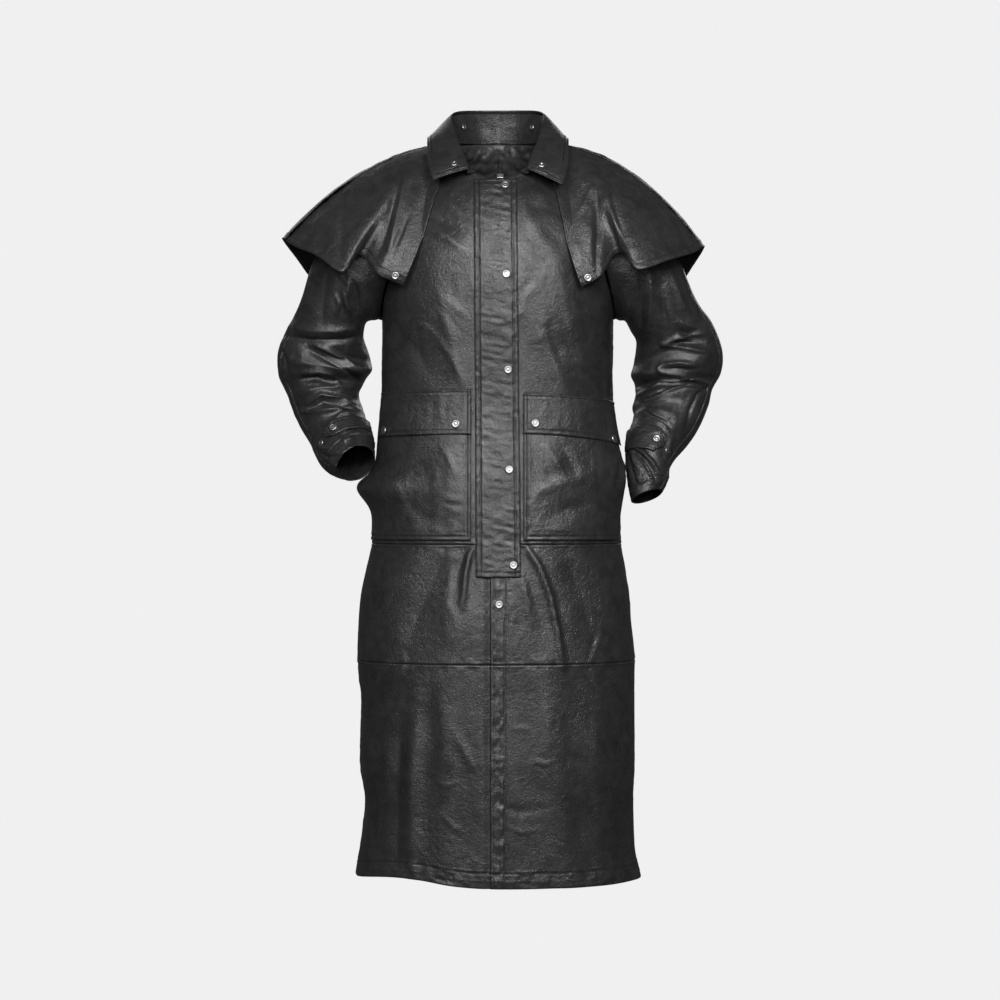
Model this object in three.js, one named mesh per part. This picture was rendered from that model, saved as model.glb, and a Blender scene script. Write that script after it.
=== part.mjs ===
// A full-length leather duster coat in its worn shape, with no wearer: shoulder cape, shirt collar, storm flap,
// large patch pockets with flaps, and sleeves bent so that their cuffs end at the pocket mouths.
// Millimetres, +Z up. The front faces -Y and +X is the wearer's left. The origin lies between the shoulder tips.
import * as THREE from "three";

// Driving dimensions
const LEATHER = 2.0; // wall of the body, sleeves and cape
const TRIM_LEATHER = 1.6; // wall of the pieces that are sewn on top
const LINING = 1.0;
const LAYER_GAP = 0.5; // between a panel and what lies on it
const SEAM_INSET = 0.2; // each side of a seam steps back by this

const HEM_Z = -1234;
const HEM_RISE = 14; // the right front's hem hangs a little shorter
const HEM_RISE_ANGLE = -50;
const HEM_RISE_SPAN = 24;
const SKIRT_SEAM_Z = -858; // between the two tiers of the skirt
const HIP_SEAM_Z = -656; // under the pockets
const ARMPIT_Z = -262;
const SHOULDER_TIP_Z = -6;
const NECK_SCOOP = 2.2; // how late the neckline drops towards the front
const NECK_FRONT_Z = -29;
const NECK_SIDE_Z = 43;
const NECK_BACK_Z = 52;

const LEFT_EDGE_X = -13; // edge of the left front, which laps over the right one
const RIGHT_EDGE_X = 28; // edge of the right front, hidden under the left one
const LAP_DROP = LEATHER + 1.7; // how far the right front steps back under the left one
const LAP_STEP = 0.045; // share of the right front's width over which it steps back

// Half widths and half depths of the body at each height. round is the exponent of the cross-section's outline:
// 1 is a diamond, 2 an ellipse, more is squarer.
const BODY = [
  { z: 52, left: 60, right: 60, front: 46, back: 72, round: 1.9 },
  { z: 43, left: 80, right: 80, front: 56, back: 74, round: 1.5 },
  { z: 25, left: 130, right: 130, front: 70, back: 82, round: 1.15 },
  { z: 10, left: 172, right: 172, front: 82, back: 92, round: 1.15 },
  { z: -6, left: 200, right: 200, front: 95, back: 103, round: 1.25 },
  { z: -29, left: 206, right: 206, front: 108, back: 114, round: 1.4 },
  { z: -70, left: 207, right: 207, front: 128, back: 127, round: 1.7 },
  { z: -130, left: 205, right: 205, front: 144, back: 138, round: 2.1 },
  { z: -200, left: 202, right: 203, front: 151, back: 142, round: 2.3 },
  { z: -262, left: 201, right: 202, front: 152, back: 140, round: 2.3 },
  { z: -330, left: 201, right: 203, front: 148, back: 131, round: 2.3 },
  { z: -400, left: 202, right: 204, front: 146, back: 125, round: 2.3 },
  { z: -460, left: 206, right: 207, front: 148, back: 127, round: 2.3 },
  { z: -520, left: 210, right: 210, front: 153, back: 133, round: 2.3 },
  { z: -580, left: 213, right: 215, front: 158, back: 140, round: 2.3 },
  { z: -656, left: 216, right: 222, front: 162, back: 148, round: 2.3 },
  { z: -700, left: 223, right: 232, front: 165, back: 155, round: 2.3 },
  { z: -757, left: 231, right: 242, front: 168, back: 163, round: 2.3 },
  { z: -815, left: 237, right: 246, front: 171, back: 168, round: 2.3 },
  { z: -858, left: 240, right: 247, front: 173, back: 171, round: 2.3 },
  { z: -930, left: 240, right: 241, front: 174, back: 173, round: 2.3 },
  { z: -1036, left: 239, right: 243, front: 176, back: 176, round: 2.3 },
  { z: -1106, left: 237, right: 235, front: 176, back: 178, round: 2.3 },
  { z: -1176, left: 240, right: 243, front: 177, back: 180, round: 2.3 },
  { z: -1234, left: 252, right: 252, front: 178, back: 184, round: 2.3 },
];

// Soft folds that fall down the skirt. angle is round from the front, positive to the wearer's left, in degrees.
const SKIRT_FOLDS = [
  { angle: -50, turn: -6, top: -700, depth: 7, width: 13 },
  { angle: -74, turn: 4, top: -840, depth: 6, width: 9 },
  { angle: -24, turn: -4, top: -650, depth: 5, width: 8 },
  { angle: 22, turn: 16, top: -650, depth: 7, width: 8 },
  { angle: 48, turn: 4, top: -720, depth: 6, width: 11 },
  { angle: 76, turn: 2, top: -800, depth: 6, width: 9 },
  { angle: 108, turn: -2, top: -560, depth: 9, width: 11 },
  { angle: 134, turn: 3, top: -480, depth: 11, width: 12 },
  { angle: 163, turn: -3, top: -620, depth: 9, width: 11 },
  { angle: 196, turn: 2, top: -520, depth: 11, width: 12 },
  { angle: 226, turn: -2, top: -600, depth: 10, width: 12 },
  { angle: 253, turn: 3, top: -500, depth: 8, width: 10 },
];
const FOLD_FADE = 330; // height over which a skirt fold grows to its full depth

// The armhole, as an angle forward and back of the side seam
const ARMHOLE_FRONT = 26;
const ARMHOLE_BACK = 27;
const ARMHOLE_SQUARENESS = 0.7;

// Sections of each sleeve from the shoulder down: the points nearest to and furthest from the body in the front view,
// as distances from the middle and heights, then the section's place from front to back and its half depth
const SLEEVE_RIGHT = [
  { inX: 213, inZ: -266, outX: 262, outZ: -66, y: 2, depth: 84 },
  { inX: 230, inZ: -270, outX: 318, outZ: -150, y: 5, depth: 74 },
  { inX: 236, inZ: -288, outX: 341, outZ: -222, y: 12, depth: 67 },
  { inX: 236, inZ: -304, outX: 358, outZ: -258, y: 20, depth: 64 },
  { inX: 229, inZ: -322, outX: 378, outZ: -294, y: 29, depth: 66 },
  { inX: 224, inZ: -342, outX: 389, outZ: -324, y: 36, depth: 70 },
  { inX: 230, inZ: -366, outX: 388, outZ: -360, y: 40, depth: 68 },
  { inX: 246, inZ: -388, outX: 374, outZ: -392, y: 38, depth: 60 },
  { inX: 239, inZ: -408, outX: 364, outZ: -420, y: 32, depth: 60 },
  { inX: 236, inZ: -430, outX: 350, outZ: -450, y: 22, depth: 54 },
  { inX: 229, inZ: -444, outX: 329, outZ: -482, y: 6, depth: 51 },
  { inX: 222, inZ: -458, outX: 318, outZ: -502, y: -12, depth: 48 },
  { inX: 219, inZ: -470, outX: 307, outZ: -521, y: -28, depth: 45 },
  { inX: 218, inZ: -482, outX: 292, outZ: -533, y: -42, depth: 42 },
  { inX: 218, inZ: -494, outX: 272, outZ: -541, y: -54, depth: 40 },
];
const SLEEVE_LEFT = [
  { inX: 213, inZ: -266, outX: 258, outZ: -66, y: 2, depth: 84 },
  { inX: 224, inZ: -268, outX: 312, outZ: -148, y: 5, depth: 74 },
  { inX: 234, inZ: -286, outX: 338, outZ: -212, y: 12, depth: 67 },
  { inX: 244, inZ: -304, outX: 354, outZ: -240, y: 20, depth: 64 },
  { inX: 243, inZ: -324, outX: 376, outZ: -270, y: 30, depth: 66 },
  { inX: 238, inZ: -350, outX: 394, outZ: -316, y: 38, depth: 70 },
  { inX: 239, inZ: -376, outX: 393, outZ: -354, y: 42, depth: 68 },
  { inX: 246, inZ: -393, outX: 378, outZ: -384, y: 40, depth: 60 },
  { inX: 236, inZ: -412, outX: 371, outZ: -412, y: 33, depth: 60 },
  { inX: 241, inZ: -434, outX: 355, outZ: -450, y: 22, depth: 55 },
  { inX: 232, inZ: -454, outX: 335, outZ: -480, y: 8, depth: 52 },
  { inX: 224, inZ: -478, outX: 313, outZ: -504, y: -10, depth: 49 },
  { inX: 222, inZ: -506, outX: 299, outZ: -526, y: -26, depth: 45 },
  { inX: 223, inZ: -542, outX: 296, outZ: -545, y: -38, depth: 41 },
  { inX: 230, inZ: -584, outX: 285, outZ: -567, y: -46, depth: 36 },
];
const SLEEVE_START = 2.3; // how far outside the armhole the sleeve begins
const SLEEVE_SEAM_OUTER = 152; // angles round a sleeve: 0 faces the body, 90 the front
const SLEEVE_SEAM_INNER = -22;

// Folds across the sleeves: row in the table above, angle round the sleeve, half span in degrees, height, half width
// in rows, and how many rows the fold climbs over its half span
const SLEEVE_FOLDS = [
  { row: 5.1, angle: 70, span: 85, height: -6, width: 0.42, climb: -0.7 },
  { row: 6.2, angle: 60, span: 95, height: 5, width: 0.4, climb: -0.3 },
  { row: 7.2, angle: 65, span: 90, height: -7, width: 0.42, climb: 0.2 },
  { row: 8.2, angle: 60, span: 90, height: 5, width: 0.42, climb: 0.5 },
  { row: 9.2, angle: 50, span: 80, height: -5, width: 0.4, climb: 0.5 },
  { row: 10.4, angle: 60, span: 80, height: 4, width: 0.4, climb: 0.4 },
  { row: 6.6, angle: 255, span: 75, height: -5, width: 0.45, climb: 0.2 },
  { row: 8.7, angle: 250, span: 70, height: -5, width: 0.45, climb: -0.3 },
];

// Ribs of the cape from the middle of the back to the front edge: neck is the angle of its root on the neckline,
// knee the point where it leaves the shoulder, hem its lower end. x is the distance from the middle.
const CAPE_RIGHT = [
  { neck: 180, kneeX: 0, kneeY: 128, kneeZ: -60, hemX: 0, hemY: 166, hemZ: -275 },
  { neck: 162, kneeX: 62, kneeY: 128, kneeZ: -55, hemX: 88, hemY: 170, hemZ: -272 },
  { neck: 144, kneeX: 125, kneeY: 112, kneeZ: -45, hemX: 178, hemY: 160, hemZ: -262 },
  { neck: 127, kneeX: 180, kneeY: 78, kneeZ: -25, hemX: 262, hemY: 148, hemZ: -238 },
  { neck: 114, kneeX: 208, kneeY: 42, kneeZ: -6, hemX: 324, hemY: 112, hemZ: -196 },
  { neck: 104, kneeX: 222, kneeY: 16, kneeZ: 1, hemX: 358, hemY: 56, hemZ: -152 },
  { neck: 95, kneeX: 216, kneeY: -8, kneeZ: 4, hemX: 375, hemY: -8, hemZ: -127 },
  { neck: 88, kneeX: 207, kneeY: -36, kneeZ: -6, hemX: 352, hemY: -66, hemZ: -143 },
  { neck: 82, kneeX: 192, kneeY: -62, kneeZ: -22, hemX: 310, hemY: -104, hemZ: -164 },
  { neck: 76, kneeX: 174, kneeY: -82, kneeZ: -38, hemX: 264, hemY: -136, hemZ: -195 },
  { neck: 70, kneeX: 156, kneeY: -92, kneeZ: -55, hemX: 234, hemY: -104, hemZ: -164 },
  { neck: 64, kneeX: 142, kneeY: -106, kneeZ: -84, hemX: 206, hemY: -128, hemZ: -197 },
  { neck: 58, kneeX: 124, kneeY: -118, kneeZ: -125, hemX: 161, hemY: -126, hemZ: -217 },
];
const CAPE_LEFT = [
  { neck: 180, kneeX: 0, kneeY: 128, kneeZ: -60, hemX: 0, hemY: 166, hemZ: -275 },
  { neck: 162, kneeX: 62, kneeY: 128, kneeZ: -55, hemX: 88, hemY: 170, hemZ: -272 },
  { neck: 144, kneeX: 125, kneeY: 112, kneeZ: -45, hemX: 178, hemY: 160, hemZ: -262 },
  { neck: 127, kneeX: 180, kneeY: 78, kneeZ: -25, hemX: 260, hemY: 146, hemZ: -236 },
  { neck: 114, kneeX: 208, kneeY: 42, kneeZ: -6, hemX: 320, hemY: 112, hemZ: -200 },
  { neck: 104, kneeX: 222, kneeY: 16, kneeZ: 1, hemX: 346, hemY: 60, hemZ: -166 },
  { neck: 95, kneeX: 216, kneeY: -8, kneeZ: 2, hemX: 360, hemY: -6, hemZ: -139 },
  { neck: 88, kneeX: 207, kneeY: -36, kneeZ: -8, hemX: 338, hemY: -70, hemZ: -155 },
  { neck: 82, kneeX: 192, kneeY: -62, kneeZ: -24, hemX: 292, hemY: -118, hemZ: -172 },
  { neck: 76, kneeX: 170, kneeY: -86, kneeZ: -42, hemX: 236, hemY: -142, hemZ: -191 },
  { neck: 70, kneeX: 152, kneeY: -94, kneeZ: -60, hemX: 206, hemY: -106, hemZ: -160 },
  { neck: 64, kneeX: 134, kneeY: -108, kneeZ: -88, hemX: 176, hemY: -132, hemZ: -200 },
  { neck: 58, kneeX: 112, kneeY: -122, kneeZ: -128, hemX: 142, hemY: -138, hemZ: -221 },
];
const CAPE_SEAM_RIB = 6.4; // the seam along the shoulder
const CAPE_LIFT = 2.6; // least height of the cape's outer face above the body, over its own wall
const CAPE_ARM_LIFT = 6;
const ARM_REACH = 45; // distance at which the sleeve no longer lifts the cape

// The collar from the middle of the back to the throat: neck is the angle on the neckline, then the fold line at the
// top of the stand and the free edge of the leaf. x is the distance from the middle.
const COLLAR = [
  { neck: 180, foldX: 0, foldY: 77, foldZ: 108, edgeX: 0, edgeY: 112, edgeZ: 45 },
  { neck: 152, foldX: 42, foldY: 70, foldZ: 107, edgeX: 58, edgeY: 104, edgeZ: 45 },
  { neck: 126, foldX: 71, foldY: 43, foldZ: 101, edgeX: 101, edgeY: 68, edgeZ: 50 },
  { neck: 104, foldX: 80, foldY: 8, foldZ: 88, edgeX: 119, edgeY: 18, edgeZ: 53 },
  { neck: 82, foldX: 76, foldY: -30, foldZ: 62, edgeX: 122, edgeY: -34, edgeZ: 43 },
  { neck: 56, foldX: 67, foldY: -66, foldZ: 30, edgeX: 121, edgeY: -82, edgeZ: 6 },
  { neck: 36, foldX: 57, foldY: -92, foldZ: 4, edgeX: 116, edgeY: -112, edgeZ: -20 },
  { neck: 22, foldX: 48, foldY: -109, foldZ: -21, edgeX: 110, edgeY: -126, edgeZ: -38 },
];
const LEAF_ROUND = 4; // how far a leaf bulges between its fold and its edge
const LEAF_RISE = 3.6; // height of the leaf's fold over the top of the stand
const COLLAR_LEFT_TIP_DROP = 9; // the left leaf hangs lower at its point

// Storm flap: its left and right edges at the top and at the bottom
const FLAP = { topZ: -34, bottomZ: -712, rightTop: -41, rightBottom: -37, leftTop: 32, leftBottom: 39 };

// Patch pockets and their flaps. inner is the edge beside the storm flap, outer the angle of the mouth.
const POCKET = { topZ: -404, bottomZ: -650 };
const POCKET_RIGHT = {
  side: -1, inner: 45, outer: 80, mouth: 30, mouthZ: -563, mouthHalf: 27,
  flapTop: -393, flapTopDrop: 2, flapBottom: -471, flapBottomDrop: 2, snapX: 70,
};
const POCKET_LEFT = {
  side: 1, inner: 43, outer: 74, mouth: 12, mouthZ: -545, mouthHalf: 60,
  flapTop: -400, flapTopDrop: 12, flapBottom: -470, flapBottomDrop: 18, snapX: 62,
};
const POCKET_GAP = 1.2; // the pocket curves more than the front under it
const POCKET_FLAP_OUTER = 76;
const POCKET_FLAP_STAND = 4; // how far a flap's outer end lies off the front

// Press studs
const STUD = { radius: 7.6, foot: 1.2, crown: 2.6, sides: 12 };
const EYELET = { radius: 6.2, foot: 0.9, crown: 1.7, sides: 12 };
const STUD_SEAT = 0.45;

// Colours and finish
const HIDE = new THREE.MeshStandardMaterial({ color: 0x1a1a1b, roughness: 0.42, metalness: 0 });
const DARK_LINING = new THREE.MeshStandardMaterial({ color: 0x121213, roughness: 0.8, metalness: 0 });
const NICKEL = new THREE.MeshStandardMaterial({ color: 0xc9c9c6, roughness: 0.25, metalness: 1 });

const coat = new THREE.Group();
coat.name = "duster_coat";

const radians = THREE.MathUtils.degToRad;
const clamp = THREE.MathUtils.clamp;
const mix = THREE.MathUtils.lerp;
const V = (x, y, z) => new THREE.Vector3(x, y, z);

// Smooth curve through one column of the body's table, which never overshoots between two rows
const BODY_RISING = [...BODY].reverse();
function bodyColumn(name, z) {
  const rows = BODY_RISING;
  const last = rows.length - 1;
  if (z <= rows[0].z) return rows[0][name];
  if (z >= rows[last].z) return rows[last][name];
  const i = rows.findIndex((row) => row.z > z) - 1;
  const slope = (k) => (rows[k + 1][name] - rows[k][name]) / (rows[k + 1].z - rows[k].z);
  const tangent = (k) => {
    if (k === 0) return slope(0);
    if (k === last) return slope(last - 1);
    const [a, b] = [slope(k - 1), slope(k)];
    return a * b <= 0 ? 0 : (2 * a * b) / (a + b);
  };
  const span = rows[i + 1].z - rows[i].z;
  const t = (z - rows[i].z) / span;
  return (
    (2 * t ** 3 - 3 * t ** 2 + 1) * rows[i][name] +
    (t ** 3 - 2 * t ** 2 + t) * span * tangent(i) +
    (3 * t ** 2 - 2 * t ** 3) * rows[i + 1][name] +
    (t ** 3 - t ** 2) * span * tangent(i + 1)
  );
}

// A point on a smooth curve through a list of points, at a place counted in points
function through(points, at) {
  const last = points.length - 1;
  const i = clamp(Math.floor(at), 0, last - 1);
  const t = at - i;
  const p1 = points[i];
  const p2 = points[i + 1];
  const p0 = i > 0 ? points[i - 1] : p1.clone().multiplyScalar(2).sub(p2);
  const p3 = i + 2 <= last ? points[i + 2] : p2.clone().multiplyScalar(2).sub(p1);
  const blend = (a, b, c, d) =>
    0.5 * (2 * b + (c - a) * t + (2 * a - 5 * b + 4 * c - d) * t ** 2 + (3 * b - a - 3 * c + d) * t ** 3);
  return V(blend(p0.x, p1.x, p2.x, p3.x), blend(p0.y, p1.y, p2.y, p3.y), blend(p0.z, p1.z, p2.z, p3.z));
}

// The body's form

function bodySize(theta, z) {
  const width = bodyColumn(Math.sin(theta) < 0 ? "right" : "left", z);
  const depth = bodyColumn(Math.cos(theta) > 0 ? "front" : "back", z);
  return { width, depth, round: bodyColumn("round", z) };
}

function bodyRadius(theta, z) {
  const { width, depth, round } = bodySize(theta, z);
  const across = Math.abs(Math.sin(theta)) / width;
  const along = Math.abs(Math.cos(theta)) / depth;
  return (across ** round + along ** round) ** (-1 / round);
}

function bareBody(theta, z) {
  const r = bodyRadius(theta, z);
  return V(r * Math.sin(theta), -r * Math.cos(theta), z);
}

// Height of the skirt's folds above the bare form
function skirtFold(theta, z) {
  let height = 0;
  for (const fold of SKIRT_FOLDS) {
    const down = (fold.top - z) / FOLD_FADE;
    if (down <= 0) continue;
    const grown = Math.min(1, down) ** 1.3;
    const middle = fold.angle + fold.turn * Math.min(1, (fold.top - z) / (fold.top - HEM_Z));
    let away = THREE.MathUtils.radToDeg(theta) - middle;
    away -= 360 * Math.round(away / 360);
    const ridge = Math.exp(-((away / fold.width) ** 2));
    const hollow = Math.exp(-((away / (1.8 * fold.width)) ** 2));
    height += fold.depth * grown * (ridge - 0.6 * hollow);
  }
  return height;
}

// A point on the body or above it, at an angle round from the front and a height
function onBody(theta, z, above = 0) {
  const p = bareBody(theta, z);
  const du = bareBody(theta + 0.01, z).sub(bareBody(theta - 0.01, z));
  const dz = bareBody(theta, z + 1).sub(bareBody(theta, z - 1));
  const normal = du.cross(dz).normalize();
  return p.addScaledVector(normal, above + skirtFold(theta, z));
}

// The angle at which the body's front has a given distance from the middle
function angleAt(x, z) {
  const width = bodyColumn(x < 0 ? "right" : "left", z);
  const depth = bodyColumn("front", z);
  const round = bodyColumn("round", z);
  const share = 1 - (Math.abs(x) / width) ** round;
  return Math.atan2(x, depth * Math.max(share, 0) ** (1 / round));
}

// Height of the hem, which the panels' lowest rows follow
function hemRise(theta) {
  const away = THREE.MathUtils.radToDeg(theta) - HEM_RISE_ANGLE;
  return HEM_RISE * Math.exp(-((away / HEM_RISE_SPAN) ** 2));
}

const neckHeight = (theta) => {
  const round = Math.abs(theta) / (Math.PI / 2);
  if (round > 1) return mix(NECK_SIDE_Z, NECK_BACK_Z, round - 1);
  return mix(NECK_FRONT_Z, NECK_SIDE_Z, Math.abs(Math.sin(theta)) ** NECK_SCOOP);
};

// Walls

// A grid of points, rows of equal length, from a function of two shares
const gridOf = (columns, rows, f) => rows.map((v) => columns.map((u) => f(u, v)));
const shares = (n) => Array.from({ length: n + 1 }, (_, i) => i / n);

// Steps a grid's edges back towards the next row, so that two pieces stand apart at their seam
function stepBack(grid, amount = SEAM_INSET) {
  const last = grid.length - 1;
  const toward = (p, q) => p.add(q.clone().sub(p).setLength(amount));
  grid[0].forEach((p, i) => toward(p, grid[1][i]));
  grid[last].forEach((p, i) => toward(p, grid[last - 1][i]));
  for (const row of grid) {
    toward(row[0], row[1]);
    toward(row[row.length - 1], row[row.length - 2]);
  }
  return grid;
}

// The direction away from a point inside, square to the surface that a function of two places gives
const PROBE = 0.02;
function facing(f, u, v, inside) {
  const normal = f(u + PROBE, v).sub(f(u - PROBE, v)).cross(f(u, v + PROBE).sub(f(u, v - PROBE))).normalize();
  return normal.dot(f(u, v).sub(inside)) < 0 ? normal.negate() : normal;
}

// A panel from such a function: its outer face on the surface, its inner face one wall further in
function shell(f, columns, rows, inside, thickness = LEATHER) {
  const inner = (u, v) => f(u, v).addScaledVector(facing(f, u, v, inside(u, v)), -thickness);
  return wall(stepBack(gridOf(columns, rows, f)), stepBack(gridOf(columns, rows, inner)));
}

// A closed solid between two grids
function wall(outer, inner) {
  const rows = outer.length;
  const columns = outer[0].length;
  const positions = [];
  for (const grid of [outer, inner]) for (const row of grid) for (const p of row) positions.push(p.x, p.y, p.z);
  const at = (layer, r, c) => layer * rows * columns + r * columns + c;
  const index = [];
  const quad = (a, b, c, d) => index.push(a, b, c, a, c, d);
  for (let r = 0; r < rows - 1; r++) {
    for (let c = 0; c < columns - 1; c++) {
      quad(at(0, r, c), at(0, r, c + 1), at(0, r + 1, c + 1), at(0, r + 1, c));
      quad(at(1, r, c), at(1, r + 1, c), at(1, r + 1, c + 1), at(1, r, c + 1));
    }
    quad(at(0, r, 0), at(0, r + 1, 0), at(1, r + 1, 0), at(1, r, 0));
    quad(at(0, r, columns - 1), at(1, r, columns - 1), at(1, r + 1, columns - 1), at(0, r + 1, columns - 1));
  }
  for (let c = 0; c < columns - 1; c++) {
    quad(at(0, 0, c), at(1, 0, c), at(1, 0, c + 1), at(0, 0, c + 1));
    quad(at(0, rows - 1, c), at(0, rows - 1, c + 1), at(1, rows - 1, c + 1), at(1, rows - 1, c));
  }
  const geometry = new THREE.BufferGeometry();
  geometry.setAttribute("position", new THREE.Float32BufferAttribute(positions, 3));
  geometry.setIndex(signedVolume(positions, index) < 0 ? turned(index) : index);
  geometry.computeVertexNormals();
  return geometry;
}

function signedVolume(positions, index) {
  let volume = 0;
  const point = (i) => V(positions[3 * i], positions[3 * i + 1], positions[3 * i + 2]);
  for (let i = 0; i < index.length; i += 3) {
    volume += point(index[i]).dot(point(index[i + 1]).cross(point(index[i + 2])));
  }
  return volume;
}

const turned = (index) => index.map((_, i) => index[i - (i % 3) + [0, 2, 1][i % 3]]);

function add(name, geometry, material) {
  const mesh = new THREE.Mesh(geometry, material);
  mesh.name = name;
  coat.add(mesh);
  return mesh;
}

// Body panels

// The upper part of a panel in angle and height: columns run from the middle to the armhole, rows from the armpit up
// to the neckline and the shoulder seam
function upperPlace(side, u, w, middleAngle, armholeAngle) {
  const quarter = Math.PI / 2;
  const isFront = armholeAngle < 0;
  const top = (t) => {
    if (t > 0.5) return { a: quarter, z: mix(NECK_SIDE_Z, SHOULDER_TIP_Z, 2 * t - 1) };
    const a = mix(middleAngle(NECK_FRONT_Z), quarter, 2 * t);
    return { a, z: neckHeight(a) };
  };
  const bottom = (t) => ({ a: mix(middleAngle(ARMPIT_Z), quarter, t), z: ARMPIT_Z });
  const middleTop = isFront ? NECK_FRONT_Z : NECK_BACK_Z;
  const left = (t) => {
    const z = mix(ARMPIT_Z, middleTop, t);
    return { a: middleAngle(z), z };
  };
  const right = (t) => ({
    a: quarter + radians(armholeAngle) * Math.sin(Math.PI * t) ** ARMHOLE_SQUARENESS,
    z: mix(ARMPIT_Z, SHOULDER_TIP_Z, t),
  });
  const coons = (key) =>
    (1 - w) * bottom(u)[key] +
    w * top(u)[key] +
    (1 - u) * left(w)[key] +
    u * right(w)[key] -
    ((1 - u) * ((1 - w) * bottom(0)[key] + w * top(0)[key]) + u * ((1 - w) * bottom(1)[key] + w * top(1)[key]));
  return { a: side * coons("a"), z: coons("z") };
}

// Where a front's columns begin, as an angle on its own side: negative where it passes the middle. The right front
// goes on under the left one, in columns below zero.
const frontEdge = (side) => (z) => side * angleAt(LEFT_EDGE_X + (side > 0 ? 0 : -1), z);
const underlapAngle = (u, z) => -angleAt(mix(LEFT_EDGE_X - 1, RIGHT_EDGE_X, -u), z);
const lapDrop = (side, u) => (side > 0 ? 0 : LAP_DROP * (1 - clamp(u / LAP_STEP, 0, 1)));

const FRONT_COLUMNS = {
  1: [0, 0.08, 0.2, 0.34, 0.46, 0.58, 0.7, 0.82, 0.91, 1],
  "-1": [-1, -0.5, 0, LAP_STEP, 0.19, 0.33, 0.46, 0.58, 0.7, 0.82, 0.91, 1],
};
const BACK_COLUMNS = [-1, -0.91, -0.8, -0.67, -0.54, -0.41, -0.27, -0.13, 0, 0.13, 0.27, 0.41, 0.54, 0.67, 0.8, 0.91, 1];
const TIERS = {
  upper: { bottom: HIP_SEAM_Z, top: ARMPIT_Z, rows: 7 },
  middle: { bottom: SKIRT_SEAM_Z, top: HIP_SEAM_Z, rows: 4 },
  lower: { bottom: HEM_Z, top: SKIRT_SEAM_Z, rows: 7 },
};
const SHOULDER_ROWS = [0.14, 0.28, 0.42, 0.56, 0.69, 0.81, 0.91, 1];

// Heights of the panels' rows at the middle of the front. What lies on a panel has its rows at the same heights.
const levelsOf = (tier) => shares(TIERS[tier].rows).map((t) => mix(TIERS[tier].bottom, TIERS[tier].top, t));
const LEVELS = [
  ...levelsOf("lower"),
  ...levelsOf("middle").slice(1),
  ...levelsOf("upper").slice(1),
  ...SHOULDER_ROWS.map((w) => mix(ARMPIT_Z, NECK_FRONT_Z, w)),
];

function levelsBetween(bottom, top, parts = 1) {
  const ends = [bottom, ...LEVELS.filter((z) => z > bottom + 4 && z < top - 4), top];
  const between = ends.slice(1).flatMap((z, i) => shares(parts).slice(1).map((t) => mix(ends[i], z, t)));
  return [bottom, ...between];
}

function bodyPanel(name, tier, columns, placeLow, placeHigh, drop = () => 0) {
  const levels = shares(TIERS[tier].rows).map((t) => ({ z: mix(TIERS[tier].bottom, TIERS[tier].top, t) }));
  const rows = tier === "upper" ? [...levels, ...SHOULDER_ROWS.map((w) => ({ w }))] : levels;
  const layer = (depth) =>
    stepBack(
      gridOf(columns, rows, (u, row) => {
        const at = "z" in row ? placeLow(u, row.z) : placeHigh(u, row.w);
        const rise = tier === "lower" ? hemRise(at.a) * ((SKIRT_SEAM_Z - at.z) / (SKIRT_SEAM_Z - HEM_Z)) : 0;
        return onBody(at.a, at.z + rise, -depth - drop(u));
      }),
    );
  add(name, wall(layer(0), layer(LEATHER)), HIDE);
}

function bodyPanels() {
  for (const tier of Object.keys(TIERS)) {
    for (const side of [1, -1]) {
      const edge = frontEdge(side);
      bodyPanel(
        `front_${side > 0 ? "left" : "right"}_${tier}`,
        tier,
        FRONT_COLUMNS[side],
        (u, z) => ({ a: side * (u < 0 ? underlapAngle(u, z) : mix(edge(z), Math.PI / 2, u)), z }),
        (u, w) => {
          if (u >= 0) return upperPlace(side, u, w, edge, -ARMHOLE_FRONT);
          const z = mix(ARMPIT_Z, NECK_FRONT_Z, w);
          return { a: side * underlapAngle(u, z), z };
        },
        (u) => lapDrop(side, u),
      );
    }
    bodyPanel(
      `back_${tier}`,
      tier,
      BACK_COLUMNS,
      (u, z) => ({ a: Math.PI - (u * Math.PI) / 2, z }),
      (u, w) => {
        const at = upperPlace(1, Math.abs(u), w, () => Math.PI, ARMHOLE_BACK);
        return { a: u < 0 ? 2 * Math.PI - at.a : at.a, z: at.z };
      },
    );
  }
}

// Sleeves

const sleeveTable = (side) => (side > 0 ? SLEEVE_LEFT : SLEEVE_RIGHT);
const sleeveRows = (side) => sleeveTable(side).length;

function armholePoint(side, phi) {
  const t = (1 - Math.cos(phi)) / 2;
  const forward = Math.sin(phi) >= 0;
  const swing = radians(forward ? -ARMHOLE_FRONT : ARMHOLE_BACK) * Math.sin(Math.PI * t) ** ARMHOLE_SQUARENESS;
  const z = mix(ARMPIT_Z, SHOULDER_TIP_Z, t);
  return bareBody(side * (Math.PI / 2 + swing), z).add(V(side * SLEEVE_START, 0, 0));
}

function sleeveMiddle(side, k) {
  const row = sleeveTable(side)[k];
  return V((side * (row.inX + row.outX)) / 2, row.y, (row.inZ + row.outZ) / 2);
}

// The ellipse of one row: its middle, its two half axes and the direction of the arm
function ringOf(side, k) {
  const row = sleeveTable(side)[k];
  const last = sleeveRows(side) - 1;
  const middle = sleeveMiddle(side, k);
  const along = sleeveMiddle(side, Math.min(k + 1, last)).sub(sleeveMiddle(side, Math.max(k - 1, 0))).normalize();
  const inward = V(side * row.inX, row.y, row.inZ).sub(middle);
  const forward = along.clone().cross(inward).normalize();
  if (forward.y > 0) forward.negate();
  return { middle, inward, forward: forward.multiplyScalar(row.depth), along };
}

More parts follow.
